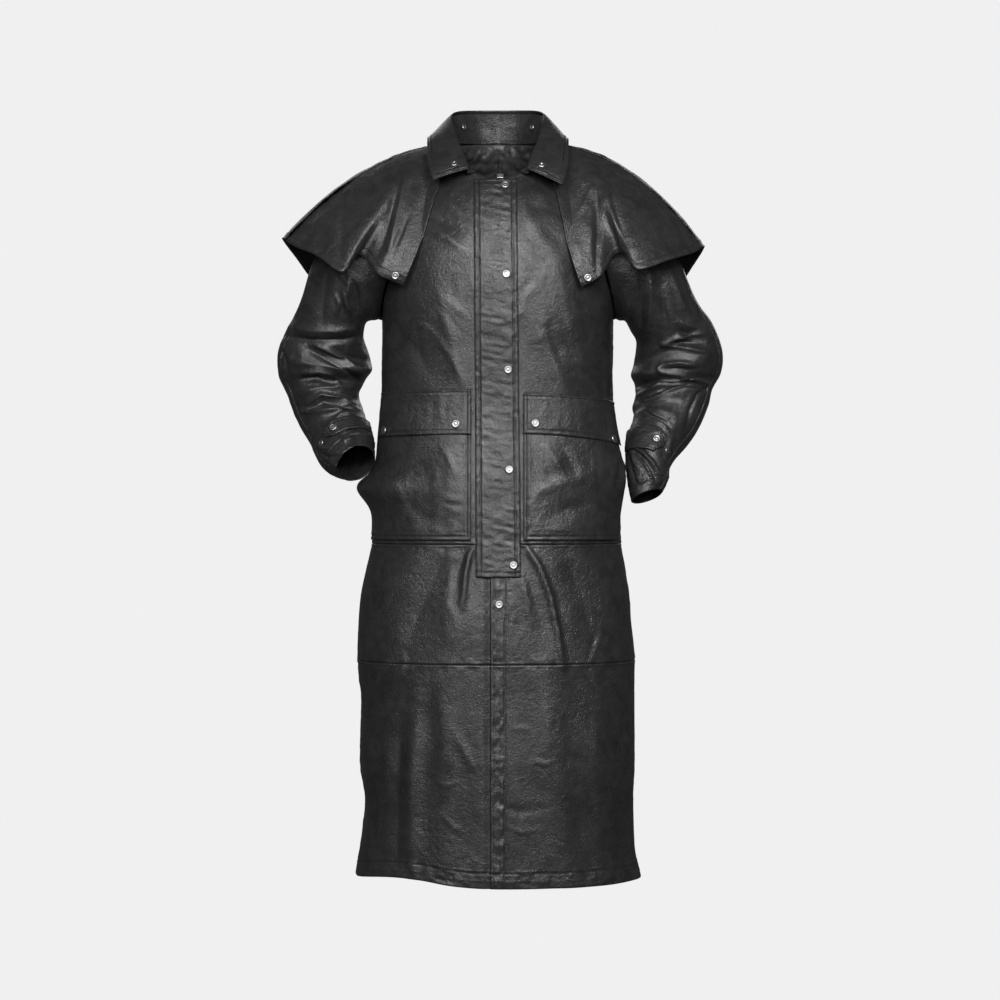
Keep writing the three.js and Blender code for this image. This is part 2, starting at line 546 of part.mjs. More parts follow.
const SLEEVE_RINGS = {
  1: SLEEVE_LEFT.map((_, k) => ringOf(1, k)),
  "-1": SLEEVE_RIGHT.map((_, k) => ringOf(-1, k)),
};
const sleeveRing = (side, k) => SLEEVE_RINGS[side][k];

function sleeveFold(at, phi) {
  let height = 0;
  for (const fold of SLEEVE_FOLDS) {
    let away = THREE.MathUtils.radToDeg(phi) - fold.angle;
    away -= 360 * Math.round(away / 360);
    const share = away / fold.span;
    if (Math.abs(share) >= 1) continue;
    const across = (at - fold.row - fold.climb * share) / fold.width;
    height += fold.height * (1 - share ** 2) * Math.exp(-(across ** 2));
  }
  return height;
}

// A point on a sleeve. at counts the rows of its table from 1, with 0 at the armhole.
function onSleeve(side, at, phi, above = 0) {
  const line = [armholePoint(side, phi)];
  for (let k = 0; k < sleeveRows(side); k++) {
    const ring = sleeveRing(side, k);
    const p = ring.middle.clone().addScaledVector(ring.inward, Math.cos(phi));
    line.push(p.addScaledVector(ring.forward, Math.sin(phi)));
  }
  const p = through(line, at);
  const k = clamp(Math.round(at) - 1, 0, sleeveRows(side) - 1);
  const { middle, along } = sleeveRing(side, k);
  const out = p.clone().sub(middle);
  out.addScaledVector(along, -out.dot(along)).normalize();
  return p.addScaledVector(out, above + sleeveFold(at, phi));
}

const SLEEVE_STEPS = [0, 0.4, 1, 1.6, 2.3, 3, 3.6, 4.2, 4.7, 5.2, 5.7, 6.2, 6.7, 7.2, 7.7, 8.2, 8.7, 9.2, 9.7, 10.3, 11, 12, 13, 14, 15];

function sleevePanel(name, side, from, to, columns) {
  const surface = (u, at) => onSleeve(side, at, radians(mix(from, to, u)));
  const middle = (u, at) => sleeveMiddle(side, clamp(Math.round(at) - 1, 0, sleeveRows(side) - 1));
  add(name, shell(surface, shares(columns), SLEEVE_STEPS, middle), HIDE);
}

function sleeves() {
  for (const side of [1, -1]) {
    const hand = side > 0 ? "left" : "right";
    sleevePanel(`sleeve_${hand}_top`, side, SLEEVE_SEAM_INNER, SLEEVE_SEAM_OUTER, 8);
    sleevePanel(`sleeve_${hand}_under`, side, SLEEVE_SEAM_OUTER, SLEEVE_SEAM_INNER + 360, 8);
  }
}

// Cuff tabs: a pointed strap round the front of each cuff
const TAB = { from: 8, to: 114, row: 12.2, rise: -0.2, halfWidth: 0.68, point: 0.8, gap: 1.3 };

function cuffTabs() {
  for (const side of [1, -1]) {
    const layer = (above) =>
      gridOf(shares(8), shares(3), (u, v) => {
        const narrowing = clamp((u - TAB.point) / (1 - TAB.point), 0, 1);
        const half = TAB.halfWidth * (1 - 0.72 * narrowing);
        const at = TAB.row - TAB.rise * u + half * (2 * v - 1);
        return onSleeve(side, at, radians(mix(TAB.from, TAB.to, u)), above);
      });
    add(`cuff_tab_${side > 0 ? "left" : "right"}`, wall(layer(TAB.gap + TRIM_LEATHER), layer(TAB.gap)), HIDE);
  }
}

// Cape

// How far a point lies outside the body's form
function bodyClearance(p) {
  const theta = Math.atan2(p.x, -p.y);
  const reach = Math.hypot(p.x, p.y);
  return reach - bodyRadius(theta, Math.min(p.z, NECK_BACK_Z));
}

// Points over the upper arm with their outward directions
const UPPER_ARM = [0, 0.5, 1, 1.5, 2, 2.5, 3, 3.5, 4, 4.5, 5];
const armSamples = (side) =>
  UPPER_ARM.flatMap((at) =>
    shares(24).map((t) => {
      const f = (turn, row) => onSleeve(side, row, 2 * Math.PI * turn);
      const middle = sleeveMiddle(side, clamp(Math.round(at) - 1, 0, 4));
      return { p: f(t, at), normal: facing(f, t, at, middle) };
    }),
  );
const ARM_SAMPLES = { 1: armSamples(1), "-1": armSamples(-1) };

// Moves a point out until it is clear of the sleeve
function liftedOffSleeve(side, p) {
  let nearest = ARM_SAMPLES[side][0];
  for (const sample of ARM_SAMPLES[side]) {
    if (sample.p.distanceToSquared(p) < nearest.p.distanceToSquared(p)) nearest = sample;
  }
  const clearance = p.clone().sub(nearest.p).dot(nearest.normal);
  const near = 1 - THREE.MathUtils.smoothstep(p.distanceTo(nearest.p), ARM_REACH / 3, ARM_REACH);
  const short = LEATHER + CAPE_ARM_LIFT - clearance;
  return short > 0 ? p.addScaledVector(nearest.normal, short * near) : p;
}

// Moves a point out until it is clear of the body's form
function liftedOffBody(p) {
  for (let i = 0; i < 4; i++) {
    const here = bodyClearance(p);
    const slope = V(
      bodyClearance(p.clone().add(V(1, 0, 0))) - here,
      bodyClearance(p.clone().add(V(0, 1, 0))) - here,
      bodyClearance(p.clone().add(V(0, 0, 1))) - here,
    );
    const steep = slope.length();
    const short = LEATHER + CAPE_LIFT - here / steep;
    if (!(short > 0)) return p;
    p.addScaledVector(slope.divideScalar(steep), short);
  }
  return p;
}

const capeLines = (side) => {
  const ribs = side > 0 ? CAPE_LEFT : CAPE_RIGHT;
  return [
    ribs.map((rib) => onBody(side * radians(rib.neck), neckHeight(radians(rib.neck)) - 3, LEATHER)),
    ribs.map((rib) => V(side * rib.kneeX, rib.kneeY, rib.kneeZ)),
    ribs.map((rib) => V(side * rib.hemX, rib.hemY, rib.hemZ)),
  ];
};
const CAPE_LINES = { 1: capeLines(1), "-1": capeLines(-1) };

function onCape(side, at, down) {
  const [root, knee, hem] = CAPE_LINES[side].map((points) => through(points, at));
  const bend = 0.45;
  const p = root
    .multiplyScalar(((down - bend) * (down - 1)) / bend)
    .addScaledVector(knee, (down * (down - 1)) / (bend * (bend - 1)))
    .addScaledVector(hem, (down * (down - bend)) / (1 - bend));
  return liftedOffSleeve(side, liftedOffBody(p));
}

const CHEST = V(0, 0, -200); // a point inside, which tells the cape's outside from its inside
const CAPE_ROWS = [0, 0.1, 0.22, 0.36, 0.5, 0.64, 0.78, 0.9, 1];

function cape() {
  const last = CAPE_LEFT.length - 1;
  const fronts = [CAPE_SEAM_RIB, 7, 7.5, 8, 8.5, 9, 9.5, 10, 10.5, 11, 11.5, last];
  const half = [0.8, 1.6, 2.4, 3.1, 3.8, 4.5, 5.1, 5.7, CAPE_SEAM_RIB];
  for (const side of [1, -1]) {
    const front = (at, down) => onCape(side, at, down);
    add(`cape_front_${side > 0 ? "left" : "right"}`, shell(front, fronts, CAPE_ROWS, () => CHEST), HIDE);
  }
  const across = [...half.map((at) => -at).reverse(), 0, ...half];
  const back = (at, down) => onCape(at < 0 ? -1 : 1, Math.abs(at), down);
  add("cape_back", shell(back, across, CAPE_ROWS, () => CHEST), HIDE);
}

// Collar

function collarLines(side) {
  const last = COLLAR.length - 1;
  return {
    base: COLLAR.map((row) => onBody(side * radians(row.neck), neckHeight(radians(row.neck)) + 0.6, -0.4)),
    fold: COLLAR.map((row) => V(side * row.foldX, row.foldY, row.foldZ)),
    edge: COLLAR.map((row, i) => {
      const drop = side > 0 ? COLLAR_LEFT_TIP_DROP * (i / last) ** 2 : 0;
      return V(side * row.edgeX, row.edgeY, row.edgeZ - drop);
    }),
  };
}

// A point on a leaf, from its fold line (0) to its free edge (1)
function onLeaf(lines, at, v) {
  const p = through(lines.fold, at).lerp(through(lines.edge, at), v);
  const out = V(p.x, p.y, 0).normalize();
  const round = LEAF_ROUND * Math.sin(Math.PI * Math.max(v, 0) ** 0.6);
  return p.addScaledVector(out, round).add(V(0, 0, LEAF_RISE * (1 - v)));
}

const THROAT = V(0, -15, 40); // a point inside, which tells the collar's outside from its inside

const collarStations = (() => {
  const half = shares(13).map((t) => t * (COLLAR.length - 1));
  return [...half.slice(1).map((at) => -at).reverse(), ...half];
})();

function collar() {
  const lines = { 1: collarLines(1), "-1": collarLines(-1) };
  const along = (name, at) => through(lines[at < 0 ? -1 : 1][name], Math.abs(at));
  const stand = (at, v) => along("base", at).lerp(along("fold", at), v);
  add("collar_stand", shell(stand, collarStations, shares(3), () => THROAT), HIDE);
  const leaf = (at, v) => onLeaf(lines[at < 0 ? -1 : 1], Math.abs(at), v);
  add("collar_leaf", shell(leaf, collarStations, [0, 0.1, 0.32, 0.55, 0.78, 1], () => THROAT), HIDE);
}

// Neck lining: the inside of the back that shows through the neck
function neckLining() {
  const columns = BACK_COLUMNS.filter((u) => Math.abs(u) < 0.6);
  const rows = SHOULDER_ROWS.slice(3);
  const layer = (depth) =>
    gridOf(columns, rows, (u, w) => {
      const at = upperPlace(1, Math.abs(u), w, () => Math.PI, ARMHOLE_BACK);
      return onBody(u < 0 ? 2 * Math.PI - at.a : at.a, at.z, -depth);
    });
  const top = LEATHER + LAYER_GAP;
  add("neck_lining", wall(layer(top), layer(top + LINING)), DARK_LINING);
}

// Storm flap
// The top of the closure's zip shows over the storm flap
const ZIP_END = { fromX: -2, toX: 10, bottomZ: -33, topZ: -24.5, thickness: 1.5, gap: 0.4 };

function zipEnd() {
  const { fromX, toX, bottomZ, topZ, thickness, gap } = ZIP_END;
  const heights = [bottomZ, mix(bottomZ, topZ, 0.5), topZ];
  const layer = (above) =>
    gridOf(shares(4), heights, (u, z) => {
      const x = mix(fromX, toX, u);
      return onBody(angleAt(x, z), z, above);
    });
  add("zip_end", wall(layer(gap + thickness), layer(gap)), NICKEL);
}

function stormFlap() {
  const heights = levelsBetween(FLAP.bottomZ, FLAP.topZ);
  const layer = (above) =>
    gridOf(shares(4), heights, (u, z) => {
      const v = (z - FLAP.bottomZ) / (FLAP.topZ - FLAP.bottomZ);
      const x = mix(mix(FLAP.rightBottom, FLAP.rightTop, v), mix(FLAP.leftBottom, FLAP.leftTop, v), u);
      return onBody(angleAt(x, z), z, above);
    });
  add("storm_flap", wall(layer(LAYER_GAP + TRIM_LEATHER), layer(LAYER_GAP)), HIDE);
}

// Pockets

// How far the pocket stands off the front, for the hand that goes in at its outer edge
function pocketBulge(pocket, theta, z) {
  const across = clamp(THREE.MathUtils.radToDeg(Math.abs(theta)) / pocket.outer, 0, 1.08);
  const height = clamp((z - POCKET.bottomZ) / (POCKET.topZ - POCKET.bottomZ), 0, 1);
  const mouth = pocket.mouth * Math.exp(-(((z - pocket.mouthZ) / pocket.mouthHalf) ** 2));
  const slack = POCKET_FLAP_STAND * Math.sin(Math.PI * height);
  return (mouth * THREE.MathUtils.smoothstep(across, 0.5, 1) + slack * across) * Math.sin(Math.PI * height) ** 0.4;
}

function onPocket(pocket, theta, z, above) {
  return onBody(theta, z, POCKET_GAP + above + pocketBulge(pocket, theta, z));
}

function pockets() {
  for (const pocket of [POCKET_LEFT, POCKET_RIGHT]) {
    const { side } = pocket;
    const hand = side > 0 ? "left" : "right";
    const columnAngle = (u, z, outer) => side * mix(side * angleAt(side * pocket.inner, z), radians(outer), u);
    const heights = levelsBetween(POCKET.bottomZ, POCKET.topZ, 2);
    const patch = (above) =>
      gridOf(shares(9), heights, (u, z) => onPocket(pocket, columnAngle(u, z, pocket.outer), z, above));
    add(`pocket_${hand}`, wall(patch(TRIM_LEATHER), patch(0)), HIDE);
    const flap = (above) =>
      gridOf(shares(9), shares(4), (u, v) => {
        const bottom = pocket.flapBottom - pocket.flapBottomDrop * u ** 2;
        const z = mix(bottom, pocket.flapTop - pocket.flapTopDrop * u ** 2, v);
        return onPocket(pocket, columnAngle(u, z, POCKET_FLAP_OUTER), z, above + TRIM_LEATHER + POCKET_GAP);
      });
    add(`pocket_flap_${hand}`, wall(flap(TRIM_LEATHER), flap(0)), HIDE);
  }
}

// Press studs

function studGeometry({ radius, foot, crown, sides }) {
  const profile = [
    [0, 0],
    [radius, 0],
    [radius, foot],
    [radius * 0.72, crown],
    [0, crown],
  ].map(([x, y]) => new THREE.Vector2(x, y));
  return new THREE.LatheGeometry(profile, sides);
}

// Sets a stud on a surface, given as a function of two places
function stud(name, f, u, v, inside, shape = STUD, seat = STUD_SEAT) {
  const normal = facing(f, u, v, inside);
  const mesh = add(name, studGeometry(shape), NICKEL);
  mesh.quaternion.setFromUnitVectors(V(0, 1, 0), normal);
  mesh.position.copy(f(u, v)).addScaledVector(normal, seat);
}

const SKIRT_STUD = { x: 2, z: -757 };
const POCKET_STUD = { rise: 18, outerRise: 11, inset: 7 };
const CAPE_STUD = { rib: 11.62, down: 0.93 };
const CUFF_STUD = { angle: 92, at: 12.37, seat: 0.5 };
const SPARE_STUD = { angle: 128, at: 12.6, seat: 0.6 };
const COLLAR_STUD = { at: 6.3, v: 0.3, seat: 0.6 };
const HOOD_STUD = { at: 1.9, v: 0.55, seat: 2.7 };
const FLAP_STUDS = [
  { x: 12, z: -46 },
  { x: 14, z: -200 },
  { x: 17, z: -361 },
  { x: 19, z: -530 },
  { x: 26, z: -691 },
];

function studs() {
  const onFront = (above) => (x, z) => onBody(angleAt(x, z), z, above);
  FLAP_STUDS.forEach(({ x, z }, i) => {
    stud(`stud_flap_${i + 1}`, onFront(LAYER_GAP + TRIM_LEATHER), x, z, V(0, 0, z));
  });
  stud("stud_skirt", onFront(0), SKIRT_STUD.x, SKIRT_STUD.z, V(0, 0, SKIRT_STUD.z));
  for (const pocket of [POCKET_LEFT, POCKET_RIGHT]) {
    const { side, flapBottom, flapBottomDrop, snapX } = pocket;
    const face = (x, z) => onPocket(pocket, angleAt(x, z), z, 2 * TRIM_LEATHER + POCKET_GAP);
    const corner = (theta, z) => onPocket(pocket, theta, z, 2 * TRIM_LEATHER + POCKET_GAP);
    const hand = side > 0 ? "left" : "right";
    const z = flapBottom + POCKET_STUD.rise;
    const low = flapBottom - flapBottomDrop;
    stud(`stud_pocket_${hand}_inner`, face, side * snapX, z, V(0, 0, z));
    const outer = side * radians(POCKET_FLAP_OUTER - POCKET_STUD.inset);
    stud(`stud_pocket_${hand}_outer`, corner, outer, low + POCKET_STUD.outerRise, V(0, 0, z));
    stud(`stud_cape_${hand}`, (at, down) => onCape(side, at, down), CAPE_STUD.rib, CAPE_STUD.down, CHEST);
    const tab = (phi, at) => onSleeve(side, at, phi, TAB.gap + TRIM_LEATHER);
    const end = sleeveMiddle(side, sleeveRows(side) - 2);
    stud(`stud_cuff_${hand}`, tab, radians(CUFF_STUD.angle), CUFF_STUD.at, end, STUD, CUFF_STUD.seat);
    const bare = (phi, at) => onSleeve(side, at, phi);
    stud(`stud_spare_${hand}`, bare, radians(SPARE_STUD.angle), SPARE_STUD.at, end, EYELET, SPARE_STUD.seat);
    const lines = collarLines(side);
    const { at, v, seat } = COLLAR_STUD;
    const leaf = (u, w) => onLeaf(lines, u, w);
    stud(`stud_collar_${hand}`, leaf, at, v, THROAT, EYELET, seat);
    const stand = (u, w) => through(lines.base, u).lerp(through(lines.fold, u), w);
    const outside = stand(HOOD_STUD.at, HOOD_STUD.v).multiplyScalar(2);
    stud(`stud_hood_${hand}`, stand, HOOD_STUD.at, HOOD_STUD.v, outside, EYELET, HOOD_STUD.seat);
  }
}

bodyPanels();
sleeves();
cuffTabs();
cape();
collar();
neckLining();
zipEnd();
stormFlap();
pockets();
studs();

export default coat;
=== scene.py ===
"""Looks of the leather duster coat: fine panels with creases, seams and stitching, snaps, light and camera.

The forms repeat the named sizes and tables of part.mjs. Lengths are in millimetres until a mesh is made.
"""
import math

import bpy
import numpy as np
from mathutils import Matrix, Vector

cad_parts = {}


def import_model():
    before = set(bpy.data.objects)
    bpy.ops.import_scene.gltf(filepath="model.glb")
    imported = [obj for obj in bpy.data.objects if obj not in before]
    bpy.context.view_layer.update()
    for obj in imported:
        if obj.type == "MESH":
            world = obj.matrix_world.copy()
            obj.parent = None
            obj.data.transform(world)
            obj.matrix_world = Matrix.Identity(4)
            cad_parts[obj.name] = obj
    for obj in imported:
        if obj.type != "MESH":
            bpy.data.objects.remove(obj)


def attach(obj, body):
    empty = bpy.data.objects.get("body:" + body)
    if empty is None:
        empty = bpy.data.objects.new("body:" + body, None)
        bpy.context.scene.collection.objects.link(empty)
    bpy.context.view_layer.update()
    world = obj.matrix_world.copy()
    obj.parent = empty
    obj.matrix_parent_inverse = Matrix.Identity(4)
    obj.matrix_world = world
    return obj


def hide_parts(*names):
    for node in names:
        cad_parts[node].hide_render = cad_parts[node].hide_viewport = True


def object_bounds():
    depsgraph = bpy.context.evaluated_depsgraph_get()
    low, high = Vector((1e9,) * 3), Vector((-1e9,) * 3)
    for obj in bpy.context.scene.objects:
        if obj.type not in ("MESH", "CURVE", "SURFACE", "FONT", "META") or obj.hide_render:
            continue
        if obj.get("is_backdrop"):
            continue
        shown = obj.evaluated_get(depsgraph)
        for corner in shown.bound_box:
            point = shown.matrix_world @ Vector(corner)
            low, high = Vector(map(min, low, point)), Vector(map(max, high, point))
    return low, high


MM = 0.001
LEATHER = 2.0
TRIM_LEATHER = 1.6
LINING = 1.0
LAYER_GAP = 0.5
SEAM_INSET = 0.02

HEM_Z = -1234.0
HEM_RISE, HEM_RISE_ANGLE, HEM_RISE_SPAN = 14.0, -50.0, 24.0
SKIRT_SEAM_Z = -858.0
HIP_SEAM_Z = -656.0
ARMPIT_Z = -262.0
SHOULDER_TIP_Z = -6.0
NECK_SCOOP = 2.2
NECK_FRONT_Z, NECK_SIDE_Z, NECK_BACK_Z = -29.0, 43.0, 52.0
LEFT_EDGE_X, RIGHT_EDGE_X = -13.0, 28.0
LAP_DROP = LEATHER + 1.7
LAP_STEP = 0.045

# z, left, right, front, back, round
BODY = [
    (52, 60, 60, 46, 72, 1.9),
    (43, 80, 80, 56, 74, 1.5),
    (25, 130, 130, 70, 82, 1.15),
    (10, 172, 172, 82, 92, 1.15),
    (-6, 200, 200, 95, 103, 1.25),
    (-29, 206, 206, 108, 114, 1.4),
    (-70, 207, 207, 128, 127, 1.7),
    (-130, 205, 205, 144, 138, 2.1),
    (-200, 202, 203, 151, 142, 2.3),
    (-262, 201, 202, 152, 140, 2.3),
    (-330, 201, 203, 148, 131, 2.3),
    (-400, 202, 204, 146, 125, 2.3),
    (-460, 206, 207, 148, 127, 2.3),
    (-520, 210, 210, 153, 133, 2.3),
    (-580, 213, 215, 158, 140, 2.3),
    (-656, 216, 222, 162, 148, 2.3),
    (-700, 223, 232, 165, 155, 2.3),
    (-757, 231, 242, 168, 163, 2.3),
    (-815, 237, 246, 171, 168, 2.3),
    (-858, 240, 247, 173, 171, 2.3),
    (-930, 240, 241, 174, 173, 2.3),
    (-1036, 239, 243, 176, 176, 2.3),
    (-1106, 237, 235, 176, 178, 2.3),
    (-1176, 240, 243, 177, 180, 2.3),
    (-1234, 252, 252, 178, 184, 2.3),
]

# angle, turn, top, depth, width
SKIRT_FOLDS = [
    (-50, -6, -700, 7, 13),
    (-74, 4, -840, 6, 9),
    (-24, -4, -650, 5, 8),
    (22, 16, -650, 7, 8),
    (48, 4, -720, 6, 11),
    (76, 2, -800, 6, 9),
    (108, -2, -560, 9, 11),
    (134, 3, -480, 11, 12),
    (163, -3, -620, 9, 11),
    (196, 2, -520, 11, 12),
    (226, -2, -600, 10, 12),
    (253, 3, -500, 8, 10),
]
FOLD_FADE = 330.0

ARMHOLE_FRONT, ARMHOLE_BACK, ARMHOLE_SQUARENESS = 26.0, 27.0, 0.7

# inX, inZ, outX, outZ, y, depth
SLEEVE_RIGHT = [
    (213, -266, 262, -66, 2, 84),
    (230, -270, 318, -150, 5, 74),
    (236, -288, 341, -222, 12, 67),
    (236, -304, 358, -258, 20, 64),
    (229, -322, 378, -294, 29, 66),
    (224, -342, 389, -324, 36, 70),
    (230, -366, 388, -360, 40, 68),
    (246, -388, 374, -392, 38, 60),
    (239, -408, 364, -420, 32, 60),
    (236, -430, 350, -450, 22, 54),
    (229, -444, 329, -482, 6, 51),
    (222, -458, 318, -502, -12, 48),
    (219, -470, 307, -521, -28, 45),
    (218, -482, 292, -533, -42, 42),
    (218, -494, 272, -541, -54, 40),
]
SLEEVE_LEFT = [
    (213, -266, 258, -66, 2, 84),
    (224, -268, 312, -148, 5, 74),
    (234, -286, 338, -212, 12, 67),
    (244, -304, 354, -240, 20, 64),
    (243, -324, 376, -270, 30, 66),
    (238, -350, 394, -316, 38, 70),
    (239, -376, 393, -354, 42, 68),
    (246, -393, 378, -384, 40, 60),
    (236, -412, 371, -412, 33, 60),
    (241, -434, 355, -450, 22, 55),
    (232, -454, 335, -480, 8, 52),
    (224, -478, 313, -504, -10, 49),
    (222, -506, 299, -526, -26, 45),
    (223, -542, 296, -545, -38, 41),
    (230, -584, 285, -567, -46, 36),
]
SLEEVE_START = 2.3
SLEEVE_SEAM_OUTER, SLEEVE_SEAM_INNER = 152.0, -22.0

# row, angle, span, height, width, climb
SLEEVE_FOLDS = [
    (5.1, 70, 85, -6, 0.42, -0.7),
    (6.2, 60, 95, 5, 0.4, -0.3),
    (7.2, 65, 90, -7, 0.42, 0.2),
    (8.2, 60, 90, 5, 0.42, 0.5),
    (9.2, 50, 80, -5, 0.4, 0.5),
    (10.4, 60, 80, 4, 0.4, 0.4),
    (6.6, 255, 75, -5, 0.45, 0.2),
    (8.7, 250, 70, -5, 0.45, -0.3),
]

# neck, kneeX, kneeY, kneeZ, hemX, hemY, hemZ
CAPE_RIGHT = [
    (180, 0, 128, -60, 0, 166, -275),
    (162, 62, 128, -55, 88, 170, -272),
    (144, 125, 112, -45, 178, 160, -262),
    (127, 180, 78, -25, 262, 148, -238),
    (114, 208, 42, -6, 324, 112, -196),
    (104, 222, 16, 1, 358, 56, -152),
    (95, 216, -8, 4, 375, -8, -127),
    (88, 207, -36, -6, 352, -66, -143),
    (82, 192, -62, -22, 310, -104, -164),
    (76, 174, -82, -38, 264, -136, -195),
    (70, 156, -92, -55, 234, -104, -164),
    (64, 142, -106, -84, 206, -128, -197),
    (58, 124, -118, -125, 161, -126, -217),
]
CAPE_LEFT = [
    (180, 0, 128, -60, 0, 166, -275),
    (162, 62, 128, -55, 88, 170, -272),
    (144, 125, 112, -45, 178, 160, -262),
    (127, 180, 78, -25, 260, 146, -236),
    (114, 208, 42, -6, 320, 112, -200),
    (104, 222, 16, 1, 346, 60, -166),
    (95, 216, -8, 2, 360, -6, -139),
    (88, 207, -36, -8, 338, -70, -155),
    (82, 192, -62, -24, 292, -118, -172),
    (76, 170, -86, -42, 236, -142, -191),
    (70, 152, -94, -60, 206, -106, -160),
    (64, 134, -108, -88, 176, -132, -200),
    (58, 112, -122, -128, 142, -138, -221),
]
CAPE_SEAM_RIB = 6.4
CAPE_LIFT, CAPE_ARM_LIFT, ARM_REACH, CAPE_BEND = 2.6, 6.0, 45.0, 0.45

# neck, foldX, foldY, foldZ, edgeX, edgeY, edgeZ
COLLAR = [
    (180, 0, 77, 108, 0, 112, 45),
    (152, 42, 70, 107, 58, 104, 45),
    (126, 71, 43, 101, 101, 68, 50),
    (104, 80, 8, 88, 119, 18, 53),
    (82, 76, -30, 62, 122, -34, 43),
    (56, 67, -66, 30, 121, -82, 6),
    (36, 57, -92, 4, 116, -112, -20),
    (22, 48, -109, -21, 110, -126, -38),
]
LEAF_ROUND, LEAF_RISE, COLLAR_LEFT_TIP_DROP = 4.0, 3.6, 9.0

FLAP = dict(topZ=-34, bottomZ=-712, rightTop=-41, rightBottom=-37, leftTop=32, leftBottom=39)
POCKET_TOP, POCKET_BOTTOM = -404.0, -650.0
POCKETS = {
    "right": dict(side=-1, inner=45, outer=80, mouth=30, mouthZ=-563, mouthHalf=27,
                  flapTop=-393, flapTopDrop=2, flapBottom=-471, flapBottomDrop=2, snapX=70),
    "left": dict(side=1, inner=43, outer=74, mouth=12, mouthZ=-545, mouthHalf=60,
                 flapTop=-400, flapTopDrop=12, flapBottom=-470, flapBottomDrop=18, snapX=62),
}
POCKET_GAP, POCKET_FLAP_OUTER, POCKET_FLAP_STAND, POCKET_WIDTH = 1.2, 76.0, 4.0, 250.0
LINING_REACH, LINING_START, LINING_SLACK = 0.55, 0.56, 2.6
TAB = dict(start=8, end=114, row=12.2, rise=-0.2, halfWidth=0.68, point=0.8, gap=1.3)
ZIP_END = dict(fromX=-2, toX=10, bottomZ=-33, topZ=-24.5, thickness=1.5, gap=0.4)

# x, z of the snaps on the front
STUDS_ON_FLAP = [(12, -46), (14, -200), (17, -361), (19, -530), (26, -691)]
STUD_ON_SKIRT = (2, -757)
# radius, height of the turned caps
CAP = [
    (0.0, 2.35), (1.6, 2.3), (2.6, 1.95), (3.3, 1.9), (4.2, 2.35), (5.3, 2.5), (6.3, 2.2), (7.1, 1.5),
    (7.5, 0.7), (7.45, 0.15), (7.0, 0.0), (0.0, 0.0),
]
SMALL_CAP = [
    (0.0, 0.7), (1.3, 0.75), (1.9, 1.4), (2.9, 1.75), (4.2, 1.7), (5.3, 1.3), (6.05, 0.6), (6.1, 0.1),
    (5.8, 0.0), (0.0, 0.0),
]
TURNS = 36
THREAD, STITCH, PITCH = 0.32, 3.1, 4.3

# The photograph's camera: level, at the coat's mid height
CAMERA_X, CAMERA_Y, CAMERA_Z = 3.5, -4200.0, -581.0
MM_PER_PIXEL, PHOTO_SIZE = 1.75, 1000
SENSOR = 36.0

# Creases where the photograph shows them, in its pixels: height in mm, half width in pixels, points
SLEEVE_RIGHT_CREASES = [
    (3, 5, [(286, 326), (310, 331), (340, 331), (360, 327)]),
    (-4, 3.5, [(284, 336), (312, 341), (345, 340), (361, 336)]),
    (4.5, 3.2, [(312, 343), (330, 351), (347, 361), (365, 376)]),
    (-3.5, 3, [(310, 350), (340, 366), (358, 380)]),
    (4, 3, [(303, 373), (318, 371), (331, 374), (339, 383)]),
    (-3, 3, [(300, 379), (318, 378), (332, 383)]),
    (4, 3, [(308, 404), (321, 394), (337, 397), (356, 404)]),
    (-3.5, 3, [(310, 410), (323, 401), (338, 403), (356, 410)]),
    (3.2, 2.8, [(297, 412), (318, 411), (339, 408)]),
    (2.2, 2.5, [(336, 418), (342, 413), (352, 412)]),
    (2.2, 2.4, [(334, 423), (347, 422), (358, 424)]),
    (-2.2, 2.4, [(333, 427), (347, 427), (360, 429)]),
    (-3, 3, [(281, 347), (285, 360), (287, 372)]),
    (4, 5, [(350, 278), (346, 298), (349, 317)]),
    (-3.2, 3, [(353, 281), (357, 296), (358, 311)]),
    (3, 2.4, [(336, 296), (339, 304), (337, 314)]),
    (2.4, 2.2, [(343, 288), (344, 300), (350, 314)]),
    (-2.6, 7, [(328, 280), (322, 304), (322, 325)]),
    (2.2, 8, [(310, 280), (306, 300), (300, 322)]),
    (2.2, 2.4, [(332, 427), (338, 430)]),
    (2.2, 2.2, [(340, 436), (345, 441), (349, 437)]),
    (1.8, 2.2, [(316, 445), (322, 448), (330, 448)]),
    (-1.8, 2.2, [(318, 452), (328, 457), (340, 456)]),
    (1.8, 3, [(330, 462), (338, 468), (346, 470)]),
    (2.2, 3, [(352, 438), (356, 450), (352, 464)]),
]
